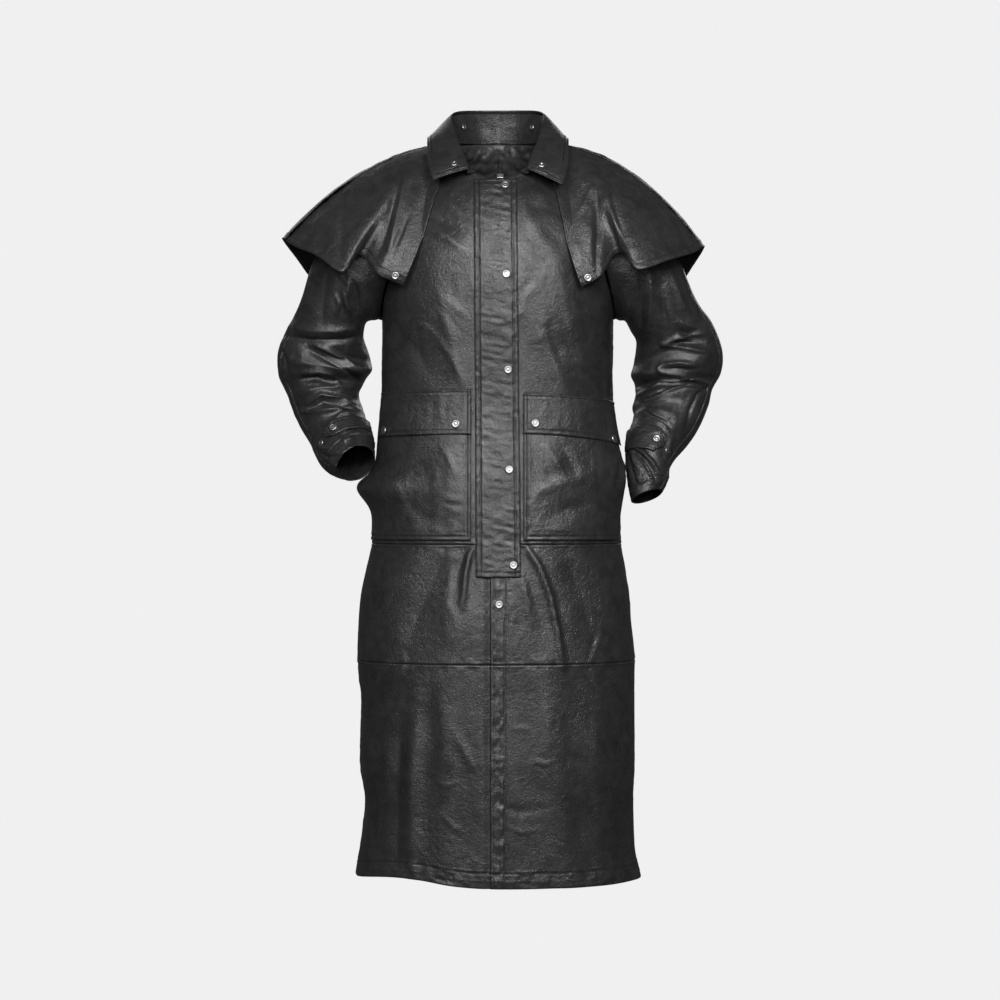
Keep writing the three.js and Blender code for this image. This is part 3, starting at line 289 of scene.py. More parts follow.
SLEEVE_LEFT_CREASES = [
    (3.4, 5, [(650, 272), (651, 305), (647, 336)]),
    (-2.4, 4, [(641, 276), (641, 306), (640, 334)]),
    (3.4, 4, [(672, 274), (680, 300), (692, 320)]),
    (-2.8, 5, [(661, 280), (664, 310), (668, 330)]),
    (2, 3, [(683, 282), (691, 300), (699, 318)]),
    (3.2, 4, [(680, 322), (690, 326), (702, 331)]),
    (-3.4, 3, [(678, 330), (690, 336), (704, 340)]),
    (3.8, 3, [(663, 345), (675, 339), (705, 333)]),
    (3.4, 3, [(663, 345), (680, 347), (709, 353)]),
    (-3, 4, [(672, 342), (690, 342), (708, 344)]),
    (3.2, 2.5, [(661, 365), (680, 363), (695, 365)]),
    (3.2, 2.5, [(661, 373), (672, 374), (684, 375)]),
    (2.6, 2.5, [(661, 365), (658, 369), (661, 373)]),
    (-2.4, 2.5, [(664, 369), (676, 369), (692, 370)]),
    (4.2, 3, [(639, 395), (662, 383), (686, 377), (707, 383)]),
    (2.8, 2.5, [(645, 399), (658, 393), (671, 388)]),
    (-3.6, 3, [(642, 402), (664, 391), (688, 384), (706, 389)]),
    (2.6, 3, [(646, 410), (656, 416), (666, 420)]),
    (-2.5, 2.5, [(707, 388), (697, 394), (690, 410), (686, 427)]),
    (3, 2.4, [(655, 420), (662, 423), (668, 430)]),
    (-3, 2.4, [(645, 411), (655, 417), (664, 422), (669, 428)]),
    (3.6, 2.2, [(632, 446), (643, 452), (653, 463), (660, 474)]),
    (-2.6, 2.2, [(636, 452), (645, 460), (652, 470), (656, 480)]),
    (2.6, 2.2, [(642, 458), (649, 470), (653, 480)]),
    (2.2, 2.2, [(631, 450), (634, 462), (640, 470)]),
    (-2, 2.2, [(628, 455), (631, 470), (636, 482)]),
    (1.8, 2.2, [(634, 478), (641, 482), (648, 478)]),
    (1.8, 3, [(672, 436), (668, 452), (664, 462)]),
]
CAPE_CREASES = [
    (-7, 5, [(399, 182), (388, 222), (377, 258)]),
    (6, 4, [(406, 174), (398, 210), (389, 252)]),
    (-3, 3, [(409, 213), (400, 235), (391, 255)]),
    (-2, 5, [(344, 199), (340, 238), (341, 268)]),
    (2, 6, [(322, 205), (314, 230), (312, 250)]),
    (-6, 5, [(596, 184), (598, 230), (596, 272)]),
    (3.2, 3.5, [(606, 179), (607, 199), (614, 219), (623, 251)]),
    (-2.6, 3.5, [(611, 190), (617, 215), (628, 246)]),
    (2.8, 3, [(592, 186), (586, 200), (580, 212)]),
    (-1.8, 6, [(655, 205), (664, 228), (670, 244)]),
    (1.8, 5, [(569, 215), (574, 240), (583, 262)]),
]
BODY_CREASES = [
    (9.5, 3.6, [(475, 545), (469, 556), (465, 578), (463, 608)]),
    (-3, 5, [(465, 550), (457, 570), (452, 604)]),
    (11.5, 3.8, [(524, 543), (539, 566), (550, 596), (557, 630), (563, 668)]),
    (4, 9, [(420, 700), (414, 760), (412, 880)]),
    (-4, 9, [(404, 700), (398, 760), (396, 880)]),
    (-3, 6, [(520, 560), (531, 585), (541, 618), (546, 650)]),
    (3, 5, [(521, 570), (527, 600), (531, 640)]),
    (-9, 24, [(566, 556), (586, 604), (594, 650)]),
    (-9, 24, [(446, 552), (424, 600), (404, 648)]),
    (3, 14, [(462, 590), (456, 620), (452, 652)]),
    (1.6, 3, [(449, 604), (455, 618), (460, 634)]),
    (1.4, 2.6, [(510, 596), (514, 614), (511, 640)]),
    (1.5, 2.6, [(526, 626), (518, 640), (512, 654)]),
    (2, 2, [(402, 652), (405, 660), (402, 668)]),
    (-2, 2, [(406, 652), (409, 660), (406, 668)]),
    (1.6, 2, [(372, 656), (374, 663), (371, 672)]),
    (3.2, 2.4, [(603, 628), (597, 645), (591, 662)]),
    (-2.6, 2.4, [(599, 632), (593, 648), (588, 660)]),
    (2, 2, [(590, 661), (595, 668), (593, 675)]),
    (1.6, 2, [(611, 655), (609, 663), (612, 670)]),
    (1.8, 9, [(455, 560), (447, 600), (445, 640)]),
    (4, 13, [(436, 284), (446, 322), (462, 384)]),
    (-6, 20, [(398, 330), (418, 352), (436, 384)]),
    (2.2, 4, [(418, 322), (436, 336), (450, 356), (461, 381)]),
    (-3.4, 6, [(430, 214), (446, 222), (462, 231)]),
    (3.4, 6, [(429, 228), (447, 237), (464, 250)]),
    (2.4, 5, [(440, 196), (452, 205), (463, 212)]),
    (1.6, 4, [(443, 297), (457, 308), (471, 322)]),
    (-1.3, 4, [(438, 306), (450, 318), (462, 334)]),
    (5, 22, [(556, 250), (566, 300), (572, 350)]),
    (3.2, 8, [(535, 325), (549, 352), (566, 392)]),
    (-3, 9, [(552, 318), (568, 350), (584, 388)]),
    (1.8, 3, [(554, 322), (561, 336), (569, 353)]),
    (-1.5, 3, [(549, 330), (556, 345), (562, 358)]),
    (-5, 14, [(602, 330), (604, 360), (603, 396)]),
    (2.2, 7, [(528, 212), (536, 232), (552, 252)]),
    (-1.8, 6, [(526, 228), (536, 248), (550, 262)]),
    (2.4, 5, [(452, 728), (460, 745), (471, 766)]),
    (1.6, 3, [(458, 735), (466, 752), (472, 770)]),
    (3.5, 12, [(440, 690), (444, 730), (442, 776)]),
    (-5, 13, [(402, 690), (396, 780), (398, 862)]),
    (3, 10, [(412, 694), (410, 780), (408, 862)]),
    (3, 12, [(540, 678), (548, 720), (546, 780)]),
    (2, 9, [(598, 700), (596, 760), (600, 850)]),
    (2.4, 3, [(627, 706), (629, 730), (624, 752)]),
    (1.6, 2.6, [(532, 760), (545, 765), (556, 760)]),
    (1.5, 2.4, [(556, 716), (561, 724), (558, 735)]),
    (1.4, 2.4, [(505, 826), (520, 832), (541, 830)]),
    (1.6, 3, [(437, 782), (446, 786), (455, 783)]),
    (1.5, 3, [(515, 730), (524, 728), (530, 733)]),
    (1.4, 3, [(440, 812), (452, 826), (463, 834)]),
    (-1.6, 5, [(500, 806), (520, 812), (545, 808)]),
]
STAND_CREASES = [
    (1.6, 5, [(459, 127), (467, 128), (474, 131)]),
    (1.6, 5, [(508, 128), (516, 127), (523, 129)]),
    (-1.4, 7, [(484, 124), (492, 133), (500, 126)]),
]
POCKET_CREASES = [
    (3, 3, [(381, 456), (375, 470), (376, 487)]),
    (-2.6, 3, [(371, 452), (366, 466), (365, 480)]),
    (2.6, 2.6, [(624, 460), (623, 472), (624, 486)]),
    (2.4, 3, [(616, 462), (613, 478), (611, 492)]),
    (-2.2, 2.6, [(620, 460), (618, 476), (618, 490)]),
    (2, 6, [(392, 462), (398, 490), (408, 516)]),
    (4.5, 17, [(446, 446), (450, 470), (448, 496)]),
    (-4, 16, [(405, 500), (425, 518), (448, 528)]),
    (1.8, 3, [(440, 445), (450, 460), (456, 476)]),
    (1.5, 2.4, [(444, 497), (456, 500), (467, 498)]),
    (-1.4, 2.4, [(446, 503), (457, 506), (467, 504)]),
    (1.4, 2.4, [(446, 509), (458, 512), (467, 511)]),
    (4.5, 15, [(545, 442), (557, 464), (572, 484)]),
    (3, 7, [(530, 505), (541, 490), (560, 484), (590, 476)]),
    (-5, 13, [(548, 520), (570, 508), (598, 500)]),
    (2, 4, [(548, 446), (556, 462), (566, 476)]),
    (-1.8, 4, [(560, 442), (568, 458), (578, 470)]),
    (1.6, 3, [(534, 444), (541, 462), (546, 476)]),
    (1.6, 4, [(470, 520), (452, 534), (430, 540)]),
]


# Tables as curves

RISING = np.array(BODY[::-1], float)
LEVELS_Z = RISING[:, 0]


def tangents(values):
    slope = np.diff(values) / np.diff(LEVELS_Z)
    out = np.empty_like(values)
    out[0], out[-1] = slope[0], slope[-1]
    a, b = slope[:-1], slope[1:]
    rising = a * b > 0
    out[1:-1] = np.where(rising, 2 * a * b / np.where(rising, a + b, 1.0), 0.0)
    return out


TANGENTS = [tangents(RISING[:, k]) for k in range(6)]
LEFT, RIGHT, FRONT, BACK, ROUND = 1, 2, 3, 4, 5


def curve(k, z):
    """One column of the body's table at the heights z."""
    z = np.clip(z, LEVELS_Z[0], LEVELS_Z[-1])
    i = np.clip(np.searchsorted(LEVELS_Z, z, side="right") - 1, 0, len(LEVELS_Z) - 2)
    v, m = RISING[:, k], TANGENTS[k]
    span = LEVELS_Z[i + 1] - LEVELS_Z[i]
    t = (z - LEVELS_Z[i]) / span
    return (
        (2 * t**3 - 3 * t**2 + 1) * v[i]
        + (t**3 - 2 * t**2 + t) * span * m[i]
        + (3 * t**2 - 2 * t**3) * v[i + 1]
        + (t**3 - t**2) * span * m[i + 1]
    )


def stack(x, y, z):
    return np.stack(np.broadcast_arrays(x, y, z), axis=-1).astype(float)


def unit(v):
    return v / np.maximum(np.linalg.norm(v, axis=-1, keepdims=True), 1e-9)


def mix(a, b, t):
    return a + (b - a) * t


def smoothstep(x, lo, hi):
    t = np.clip((x - lo) / (hi - lo), 0, 1)
    return t * t * (3 - 2 * t)


def bell(x, width):
    return np.exp(-((x / width) ** 2))


def body_radius(a, z):
    s, c = np.sin(a), np.cos(a)
    width = np.where(s < 0, curve(RIGHT, z), curve(LEFT, z))
    depth = np.where(c > 0, curve(FRONT, z), curve(BACK, z))
    n = curve(ROUND, z)
    return ((np.abs(s) / width) ** n + (np.abs(c) / depth) ** n) ** (-1 / n)


def bare_body(a, z):
    r = body_radius(a, z)
    return stack(r * np.sin(a), -r * np.cos(a), z)


def skirt_fold(a, z):
    height = np.zeros(np.broadcast(a, z).shape)
    for angle, turn, top, depth, width in SKIRT_FOLDS:
        down = np.clip((top - z) / FOLD_FADE, 0, None)
        grown = np.minimum(1, down) ** 1.3
        middle = angle + turn * np.clip((top - z) / (top - HEM_Z), 0, 1)
        away = np.degrees(a) - middle
        away = away - 360 * np.round(away / 360)
        ridge = bell(away, width)
        hollow = bell(away, 1.8 * width)
        height = height + depth * grown * (ridge - 0.6 * hollow)
    return height


def on_body(a, z, above=0.0):
    du = bare_body(a + 0.01, z) - bare_body(a - 0.01, z)
    dz = bare_body(a, z + 1) - bare_body(a, z - 1)
    normal = unit(np.cross(du, dz))
    return bare_body(a, z) + normal * (above + skirt_fold(a, z))[..., None]


def angle_at(x, z):
    width = np.where(np.asarray(x) < 0, curve(RIGHT, z), curve(LEFT, z))
    n = curve(ROUND, z)
    share = np.clip(1 - (np.abs(x) / width) ** n, 0, None)
    return np.arctan2(x, curve(FRONT, z) * share ** (1 / n))


def hem_rise(a):
    return HEM_RISE * bell(np.degrees(a) - HEM_RISE_ANGLE, HEM_RISE_SPAN)


def neck_height(a):
    quarter = np.abs(a) / (math.pi / 2)
    front = mix(NECK_FRONT_Z, NECK_SIDE_Z, np.abs(np.sin(a)) ** NECK_SCOOP)
    return np.where(quarter > 1, mix(NECK_SIDE_Z, NECK_BACK_Z, quarter - 1), front)


def upper_place(u, w, middle_angle, armhole_angle):
    """The upper part of a panel: angle on its own side, and height."""
    quarter = math.pi / 2
    is_front = armhole_angle < 0

    def top(t):
        a = mix(middle_angle(np.full_like(t, NECK_FRONT_Z)), quarter, np.minimum(2 * t, 1))
        shoulder = mix(NECK_SIDE_Z, SHOULDER_TIP_Z, 2 * t - 1)
        return np.where(t > 0.5, quarter, a), np.where(t > 0.5, shoulder, neck_height(a))

    def bottom(t):
        return mix(middle_angle(np.full_like(t, ARMPIT_Z)), quarter, t), np.full_like(t, ARMPIT_Z)

    def left(t):
        z = mix(ARMPIT_Z, NECK_FRONT_Z if is_front else NECK_BACK_Z, t)
        return middle_angle(z), z

    def right(t):
        swing = math.radians(armhole_angle) * np.clip(np.sin(math.pi * t), 0, None) ** ARMHOLE_SQUARENESS
        return quarter + swing, mix(ARMPIT_Z, SHOULDER_TIP_Z, t)

    zero, one = np.zeros_like(u), np.ones_like(u)
    out = []
    for k in (0, 1):
        out.append(
            (1 - w) * bottom(u)[k] + w * top(u)[k] + (1 - u) * left(w)[k] + u * right(w)[k]
            - ((1 - u) * ((1 - w) * bottom(zero)[k] + w * top(zero)[k])
               + u * ((1 - w) * bottom(one)[k] + w * top(one)[k]))
        )
    return out


# Sleeves

SLEEVES = {1: np.array(SLEEVE_LEFT, float), -1: np.array(SLEEVE_RIGHT, float)}


def sleeve_rings(side):
    t = SLEEVES[side]
    middle = np.stack([side * (t[:, 0] + t[:, 2]) / 2, t[:, 4], (t[:, 1] + t[:, 3]) / 2], axis=1)
    ends = np.arange(len(t))
    along = unit(middle[np.minimum(ends + 1, len(t) - 1)] - middle[np.maximum(ends - 1, 0)])
    inward = np.stack([side * t[:, 0], t[:, 4], t[:, 1]], axis=1) - middle
    forward = unit(np.cross(along, inward))
    forward = np.where(forward[:, 1:2] > 0, -forward, forward) * t[:, 5:6]
    return middle, inward, forward, along


RINGS = {side: sleeve_rings(side) for side in (1, -1)}


def armhole_point(side, phi):
    t = (1 - np.cos(phi)) / 2
    swing = np.where(np.sin(phi) >= 0, -ARMHOLE_FRONT, ARMHOLE_BACK)
    swing = np.radians(swing) * np.clip(np.sin(math.pi * t), 0, None) ** ARMHOLE_SQUARENESS
    p = bare_body(side * (math.pi / 2 + swing), mix(ARMPIT_Z, SHOULDER_TIP_Z, t))
    return p + np.array([side * SLEEVE_START, 0, 0])


def spline(point, last, at):
    """A smooth curve through the points point(0) to point(last)."""
    i = np.clip(np.floor(at).astype(int), 0, last - 1)
    t = (at - i)[..., None]
    p1, p2 = point(i), point(i + 1)
    p0 = np.where((i > 0)[..., None], point(np.maximum(i - 1, 0)), 2 * p1 - p2)
    p3 = np.where((i + 2 <= last)[..., None], point(np.minimum(i + 2, last)), 2 * p2 - p1)
    return 0.5 * (
        2 * p1 + (p2 - p0) * t + (2 * p0 - 5 * p1 + 4 * p2 - p3) * t**2 + (3 * p1 - p0 - 3 * p2 + p3) * t**3
    )


def sleeve_fold(at, phi):
    height = np.zeros(np.broadcast(at, phi).shape)
    for row, angle, span, tall, width, climb in SLEEVE_FOLDS:
        away = np.degrees(phi) - angle
        away = away - 360 * np.round(away / 360)
        share = away / span
        across = (at - row - climb * share) / width
        height = height + np.where(np.abs(share) < 1, tall * (1 - share**2) * bell(across, 1), 0)
    return height


def on_sleeve(side, at, phi, above=0.0):
    middle, inward, forward, along = RINGS[side]
    last = len(middle)

    def point(i):
        k = np.maximum(i - 1, 0)
        ring = middle[k] + inward[k] * np.cos(phi)[..., None] + forward[k] * np.sin(phi)[..., None]
        return np.where((i == 0)[..., None], armhole_point(side, phi), ring)

    p = spline(point, last, at)
    place = np.clip(at - 1, 0, last - 1.001)
    k = np.floor(place).astype(int)
    t = (place - k)[..., None]
    out = p - mix(middle[k], middle[k + 1], t)
    axis = unit(mix(along[k], along[k + 1], t))
    out = unit(out - axis * np.sum(out * axis, axis=-1, keepdims=True))
    return p + out * (above + sleeve_fold(at, phi))[..., None]


# Cape

CAPES = {1: np.array(CAPE_LEFT, float), -1: np.array(CAPE_RIGHT, float)}


def cape_lines(side):
    t = CAPES[side]
    neck = np.radians(t[:, 0])
    root = on_body(side * neck, neck_height(neck) - 3, LEATHER)
    mirror = np.array([side, 1, 1])
    return root, t[:, 1:4] * mirror, t[:, 4:7] * mirror


CAPE_LINES = {side: cape_lines(side) for side in (1, -1)}


def arm_samples(side):
    at, turn = np.meshgrid(np.linspace(0, 5, 21), np.linspace(0, 2 * math.pi, 49)[:-1], indexing="ij")
    p = on_sleeve(side, at, turn)
    d_at = on_sleeve(side, at + 0.02, turn) - on_sleeve(side, at - 0.02, turn)
    d_turn = on_sleeve(side, at, turn + 0.02) - on_sleeve(side, at, turn - 0.02)
    n = unit(np.cross(d_at, d_turn))
    k = np.clip(np.round(at).astype(int) - 1, 0, 4)
    away = p - RINGS[side][0][k]
    n = np.where(np.sum(n * away, axis=-1, keepdims=True) < 0, -n, n)
    return p.reshape(-1, 3), n.reshape(-1, 3)


ARMS = {side: arm_samples(side) for side in (1, -1)}


def lifted_off_body(p):
    def clearance(q):
        return np.hypot(q[:, 0], q[:, 1]) - body_radius(
            np.arctan2(q[:, 0], -q[:, 1]), np.minimum(q[:, 2], NECK_BACK_Z)
        )

    for _ in range(4):
        here = clearance(p)
        slope = np.stack([clearance(p + d) - here for d in np.eye(3)], axis=1)
        steep = np.linalg.norm(slope, axis=1)
        short = np.clip(LEATHER + CAPE_LIFT - here / steep, 0, None)
        p = p + slope / steep[:, None] * short[:, None]
    return p


def lifted_off_sleeve(side, p):
    points, normals = ARMS[side]
    out = p.copy()
    for start in range(0, len(p), 4000):
        q = p[start:start + 4000]
        d2 = ((q[:, None, :] - points[None]) ** 2).sum(axis=2)
        nearest = d2.min(axis=1, keepdims=True)
        weight = np.exp(-(d2 - nearest) / (2 * 9.0**2))
        weight /= weight.sum(axis=1, keepdims=True)
        normal = unit(weight @ normals)
        clearance = (weight * ((q[:, None, :] - points[None]) * normals[None]).sum(axis=2)).sum(axis=1)
        near = 1 - smoothstep(np.sqrt(nearest[:, 0]), ARM_REACH / 3, ARM_REACH)
        short = np.clip(LEATHER + CAPE_ARM_LIFT - clearance, 0, None) * near
        out[start:start + 4000] = q + normal * short[:, None]
    return out


def on_cape(side, at, down):
    at, down = np.broadcast_arrays(at, down)
    shape = at.shape
    at, down = at.ravel(), down.ravel()[:, None]
    root, knee, hem = (spline(lambda i, line=line: line[i], len(line) - 1, at) for line in CAPE_LINES[side])
    p = (
        root * ((down - CAPE_BEND) * (down - 1)) / CAPE_BEND
        + knee * (down * (down - 1)) / (CAPE_BEND * (CAPE_BEND - 1))
        + hem * (down * (down - CAPE_BEND)) / (1 - CAPE_BEND)
    )
    return lifted_off_sleeve(side, lifted_off_body(p)).reshape(shape + (3,))


# Collar

def collar_lines(side):
    t = np.array(COLLAR, float)
    neck = np.radians(t[:, 0])
    base = on_body(side * neck, neck_height(neck) + 0.6, -0.4)
    fold = t[:, 1:4] * np.array([side, 1, 1])
    edge = t[:, 4:7] * np.array([side, 1, 1])
    if side > 0:
        edge[:, 2] -= COLLAR_LEFT_TIP_DROP * (np.arange(len(t)) / (len(t) - 1)) ** 2
    return base, fold, edge


COLLARS = {side: collar_lines(side) for side in (1, -1)}
STATIONS = len(COLLAR) - 1


def along_collar(name, at):
    k = ("base", "fold", "edge").index(name)
    both = [spline(lambda i, line=COLLARS[side][k]: line[i], STATIONS, np.abs(at)) for side in (1, -1)]
    return np.where((at >= 0)[..., None], both[0], both[1])


def on_stand(at, v):
    return mix(along_collar("base", at), along_collar("fold", at), v[..., None])


def on_leaf(at, v):
    p = mix(along_collar("fold", at), along_collar("edge", at), v[..., None])
    out = p * np.array([1, 1, 0])
    out = unit(out)
    bulge = LEAF_ROUND * np.sin(math.pi * np.clip(v, 0, 1) ** 0.6)
    return p + out * bulge[..., None] + stack(0 * v, 0 * v, LEAF_RISE * (1 - v))


# Pockets

def pocket_bulge(pocket, a, z):
    across = np.clip(np.degrees(np.abs(a)) / pocket["outer"], 0, 1.08)
    height = np.clip((z - POCKET_BOTTOM) / (POCKET_TOP - POCKET_BOTTOM), 0, 1)
    mouth = pocket["mouth"] * bell(z - pocket["mouthZ"], pocket["mouthHalf"])
    slack = POCKET_FLAP_STAND * np.sin(math.pi * height)
    return (mouth * smoothstep(across, 0.5, 1) + slack * across) * np.sin(math.pi * height) ** 0.4


def on_pocket(pocket, a, z, above):
    return on_body(a, z, POCKET_GAP + above + pocket_bulge(pocket, a, z))


# Relief

def lattice(x, y, z, seed):
    h = (x * 73856093) ^ (y * 19349663) ^ (z * 83492791) ^ (seed * 2654435761)
    h = (h ^ (h >> 13)) * 1274126177
    h = h ^ (h >> 16)
    return (h & 0xFFFF) / 32767.5 - 1


def noise(p, size, seed):
    """Smooth noise from -1 to 1 with bumps of about the given size."""
    q = p / size + 1000
    i = np.floor(q).astype(np.int64)
    f = q - i
    f = f * f * (3 - 2 * f)
    out = 0
    for dx in (0, 1):
        for dy in (0, 1):
            for dz in (0, 1):
                w = (
                    (f[..., 0] if dx else 1 - f[..., 0])
                    * (f[..., 1] if dy else 1 - f[..., 1])
                    * (f[..., 2] if dz else 1 - f[..., 2])
                )
                out = out + w * lattice(i[..., 0] + dx, i[..., 1] + dy, i[..., 2] + dz, seed)
    return out


def pixels(p):
    k = (p[..., 1] - CAMERA_Y) / -CAMERA_Y * MM_PER_PIXEL
    return PHOTO_SIZE / 2 + (p[..., 0] - CAMERA_X) / k, PHOTO_SIZE / 2 - (p[..., 2] - CAMERA_Z) / k


def creases(p, table):
    """Height of the creases at the points, which are named by pixels of the front view."""
    px, py = pixels(p)
    height = np.zeros(px.shape)
    for tall, width, path in table:
        path = np.array(path, float)
        steps = np.diff(path, axis=0)
        spans = np.linalg.norm(steps, axis=1)
        nearest, place = np.full(px.shape, 1e9), np.zeros(px.shape)
        for k, (start, step, span) in enumerate(zip(path[:-1], steps, spans)):
            t = ((px - start[0]) * step[0] + (py - start[1]) * step[1]) / span**2
            t = np.clip(t, 0, 1)
            d = np.hypot(px - start[0] - t * step[0], py - start[1] - t * step[1])
            closer = d < nearest
            nearest = np.where(closer, d, nearest)
            place = np.where(closer, (spans[:k].sum() + t * span) / spans.sum(), place)
        taper = np.clip(np.sin(math.pi * np.clip(place, 0.04, 0.96)), 0, 1) ** 0.5
        pinch = 0.55 * bell(nearest, width) + 0.6 * np.exp(-nearest / (0.7 * width))
        height = height + tall * taper * (pinch - 0.35 * bell(nearest, 2.1 * width))
    return height


def facing_front(n):
    return smoothstep(-n[..., 1], 0.0, 0.35)


# Grids

def grid_normals(g):
    return unit(np.cross(np.gradient(g, axis=1), np.gradient(g, axis=0)))


def lengths(g):
    """Distances along the columns and the rows of a grid, from its first column and row."""
    across = np.linalg.norm(np.diff(g, axis=1), axis=-1)
    across = np.concatenate([np.zeros((len(g), 1)), np.cumsum(across, axis=1)], axis=1)
    up = np.linalg.norm(np.diff(g, axis=0), axis=-1)
    up = np.concatenate([np.zeros((1, g.shape[1])), np.cumsum(up, axis=0)], axis=0)
    return across, up


def edge_distances(g):
    across, up = lengths(g)
    return {
        "left": across,
        "right": across[:, -1:] - across,
        "bottom": up,
        "top": up[-1:] - up,
    }


def rim_of(d, *sides):
    return np.minimum.reduce([d[side] for side in sides])


def graded(length, fine_start=0.0, fine_end=0.0, fine=1.7, coarse=4.6):
    """Shares from 0 to 1 of a length in mm, close together over the stretches named at its two ends."""
    start = np.arange(0, fine_start, fine)
    end = length - np.arange(0, fine_end, fine)[::-1]
    low = fine_start if fine_start else 0.0
    high = length - fine_end if fine_end else length
    middle = np.linspace(low, high, max(2, int((high - low) / coarse)) + 1)
    return np.unique(np.concatenate([start, middle, end]).round(6)) / length


def step_back(g):
    """The grid with its four edges drawn in by the seams' inset."""
    g = g.copy()
    for rows in (g, g.transpose(1, 0, 2)):
        first = rows[0] + unit(rows[1] - rows[0]) * SEAM_INSET
        last = rows[-1] + unit(rows[-2] - rows[-1]) * SEAM_INSET
        rows[0], rows[-1] = first, last
    return g


def new_mesh(name, points, faces, smooth=True):
    points, faces = np.asarray(points, float), np.asarray(faces, np.int32)
    mesh = bpy.data.meshes.new(name)
    mesh.vertices.add(len(points))
    mesh.vertices.foreach_set("co", (points * MM).ravel())
    size = faces.shape[1]
    mesh.loops.add(faces.size)
    mesh.loops.foreach_set("vertex_index", faces.ravel())
    mesh.polygons.add(len(faces))
    mesh.polygons.foreach_set("loop_start", np.arange(0, faces.size, size, dtype=np.int32))
    mesh.polygons.foreach_set("loop_total", np.full(len(faces), size, dtype=np.int32))
    mesh.polygons.foreach_set("use_smooth", np.full(len(faces), smooth))
    mesh.update(calc_edges=True)
    obj = bpy.data.objects.new(name, mesh)
    bpy.context.scene.collection.objects.link(obj)
    return obj


def wall_faces(rows, columns):
    r, c = np.meshgrid(np.arange(rows - 1), np.arange(columns - 1), indexing="ij")
    a = (r * columns + c).ravel()
    outer = np.stack([a, a + 1, a + columns + 1, a + columns], axis=1)
    inner = outer[:, ::-1] + rows * columns
    low, left = np.arange(columns - 1), np.arange(rows - 1) * columns
    high, right = low + (rows - 1) * columns, left + columns - 1

    def rim(line, step):
        return np.stack([line, line + rows * columns, line + step + rows * columns, line + step], axis=1)

    rims = [rim(low, 1), np.roll(rim(high, 1)[:, ::-1], 1, axis=1)]
    rims += [np.roll(rim(left, columns)[:, ::-1], 1, axis=1), rim(right, columns)]
    return np.concatenate([outer, inner] + rims)


PIECES = {}


def wall(name, g, relief, thickness=LEATHER, out=1):
    """A closed wall on its outer face g, raised by the relief's height at the face's points."""
    normal = grid_normals(g) * out
    g = g + normal * relief(g, normal, edge_distances(g))[..., None]
    normal = grid_normals(g) * out
    inner = g - normal * thickness
    points = np.concatenate([g.reshape(-1, 3), inner.reshape(-1, 3)])
    faces = wall_faces(*g.shape[:2])
    if out < 0:
        faces = faces[:, ::-1]
    obj = new_mesh(name, points, faces)
    PIECES[name] = dict(obj=obj, grid=g, normal=normal)
    return obj


# What the leather does along its seams and edges

def seam(d, p, seed, depth=1.0):
    """A sewn seam: the panel rolls down to it, and its topstitching gathers it a little."""
    roll = -0.9 * depth * bell(d, 1.3)
    band = 0.25 * bell(d - 3.0, 1.8) - 0.12 * depth * bell(d - 5.4, 1.3)
    pucker = 0.9 * noise(p, 8.5, seed) * bell(d, 12)
    return roll + band + pucker


def edge(d, p, seed, at=7.0, deep=0.55):
    """A turned edge with a line of stitching beside it."""
    roll = -0.7 * bell(d, 1.4) + 0.35 * bell(d - at / 2, 2.0)
    line = -deep * bell(d - at, 1.6) + 0.4 * deep * bell(d - at - 3.4, 1.8)
    pucker = 0.6 * noise(p, 7.0, seed) * bell(d - at, 8)
    return roll + line + pucker


def placket(d, p):
    """The strip along the left front's edge: gathered crosswise between its two lines of stitching."""
    inside = smoothstep(d, 2, 8) * (1 - smoothstep(d, 20, 25))
    cross = 2.0 * (0.42 - np.abs(noise(p * np.array([0.45, 1, 1.0]), 12, 34))) + 1.3 * noise(p, 7, 35)
    return inside * cross - 0.9 * bell(d - 25, 1.8) + 0.5 * bell(d - 28.5, 2)


def hem_band(d, p):
    """A turned-up hem: its stitching draws it in unevenly."""
    band = (1 - smoothstep(d, 22, 34)) * smoothstep(d, 1, 8)
    patchy = 0.4 + 0.9 * smoothstep(noise(p, 45, 38), -0.3, 0.3)
    return band * patchy * (1.3 * noise(p * np.array([1, 1, 0.5]), 10, 36) + 0.8 * noise(p, 6, 37))


def crumple(p, seed, amount=1.0):
    """Soft unevenness of leather that has been worn."""
    stretched = p * np.array([1.0, 1.0, 0.72])
    large = 1.9 * noise(stretched, 95, seed)
    middle = 0.9 * noise(stretched, 38, seed + 1)
    where = smoothstep(noise(p, 120, seed + 4), -0.25, 0.35)
    crisp = 1.7 * where * (0.4 - np.abs(noise(stretched, 30, seed + 2)) ** 0.8)
    fine = 0.8 * smoothstep(noise(p, 60, seed + 5), -0.2, 0.4) * (0.4 - np.abs(noise(p, 13, seed + 3)))
    return amount * (large + middle + crisp + fine)


def body_relief(seams):
    def relief(p, n, d):
        h = crumple(p, 21) + creases(p, BODY_CREASES) * facing_front(n)
        for side, kind in seams.items():
            if kind == "seam":
                h = h + seam(d[side], p, 31)
            elif kind == "hem":
                h = h + edge(d[side], p, 32, at=26, deep=0.7) + hem_band(d[side], p)
            elif kind == "edge":
                h = h + edge(d[side], p, 33, at=6) + placket(d[side], p)
        return h

    return relief


TIERS = {
    "upper": (HIP_SEAM_Z, ARMPIT_Z),
    "middle": (SKIRT_SEAM_Z, HIP_SEAM_Z),
    "lower": (HEM_Z, SKIRT_SEAM_Z),
}
FRONT_WIDTH = 320.0
SHOULDER_STEPS = 62


def tier_levels(tier):
    low, high = TIERS[tier]
    start, end = (34 if tier == "lower" else 12), (0 if tier == "upper" else 12)
    return low + (high - low) * graded(high - low, start, end, coarse=3.8 if tier == "lower" else 4.6)


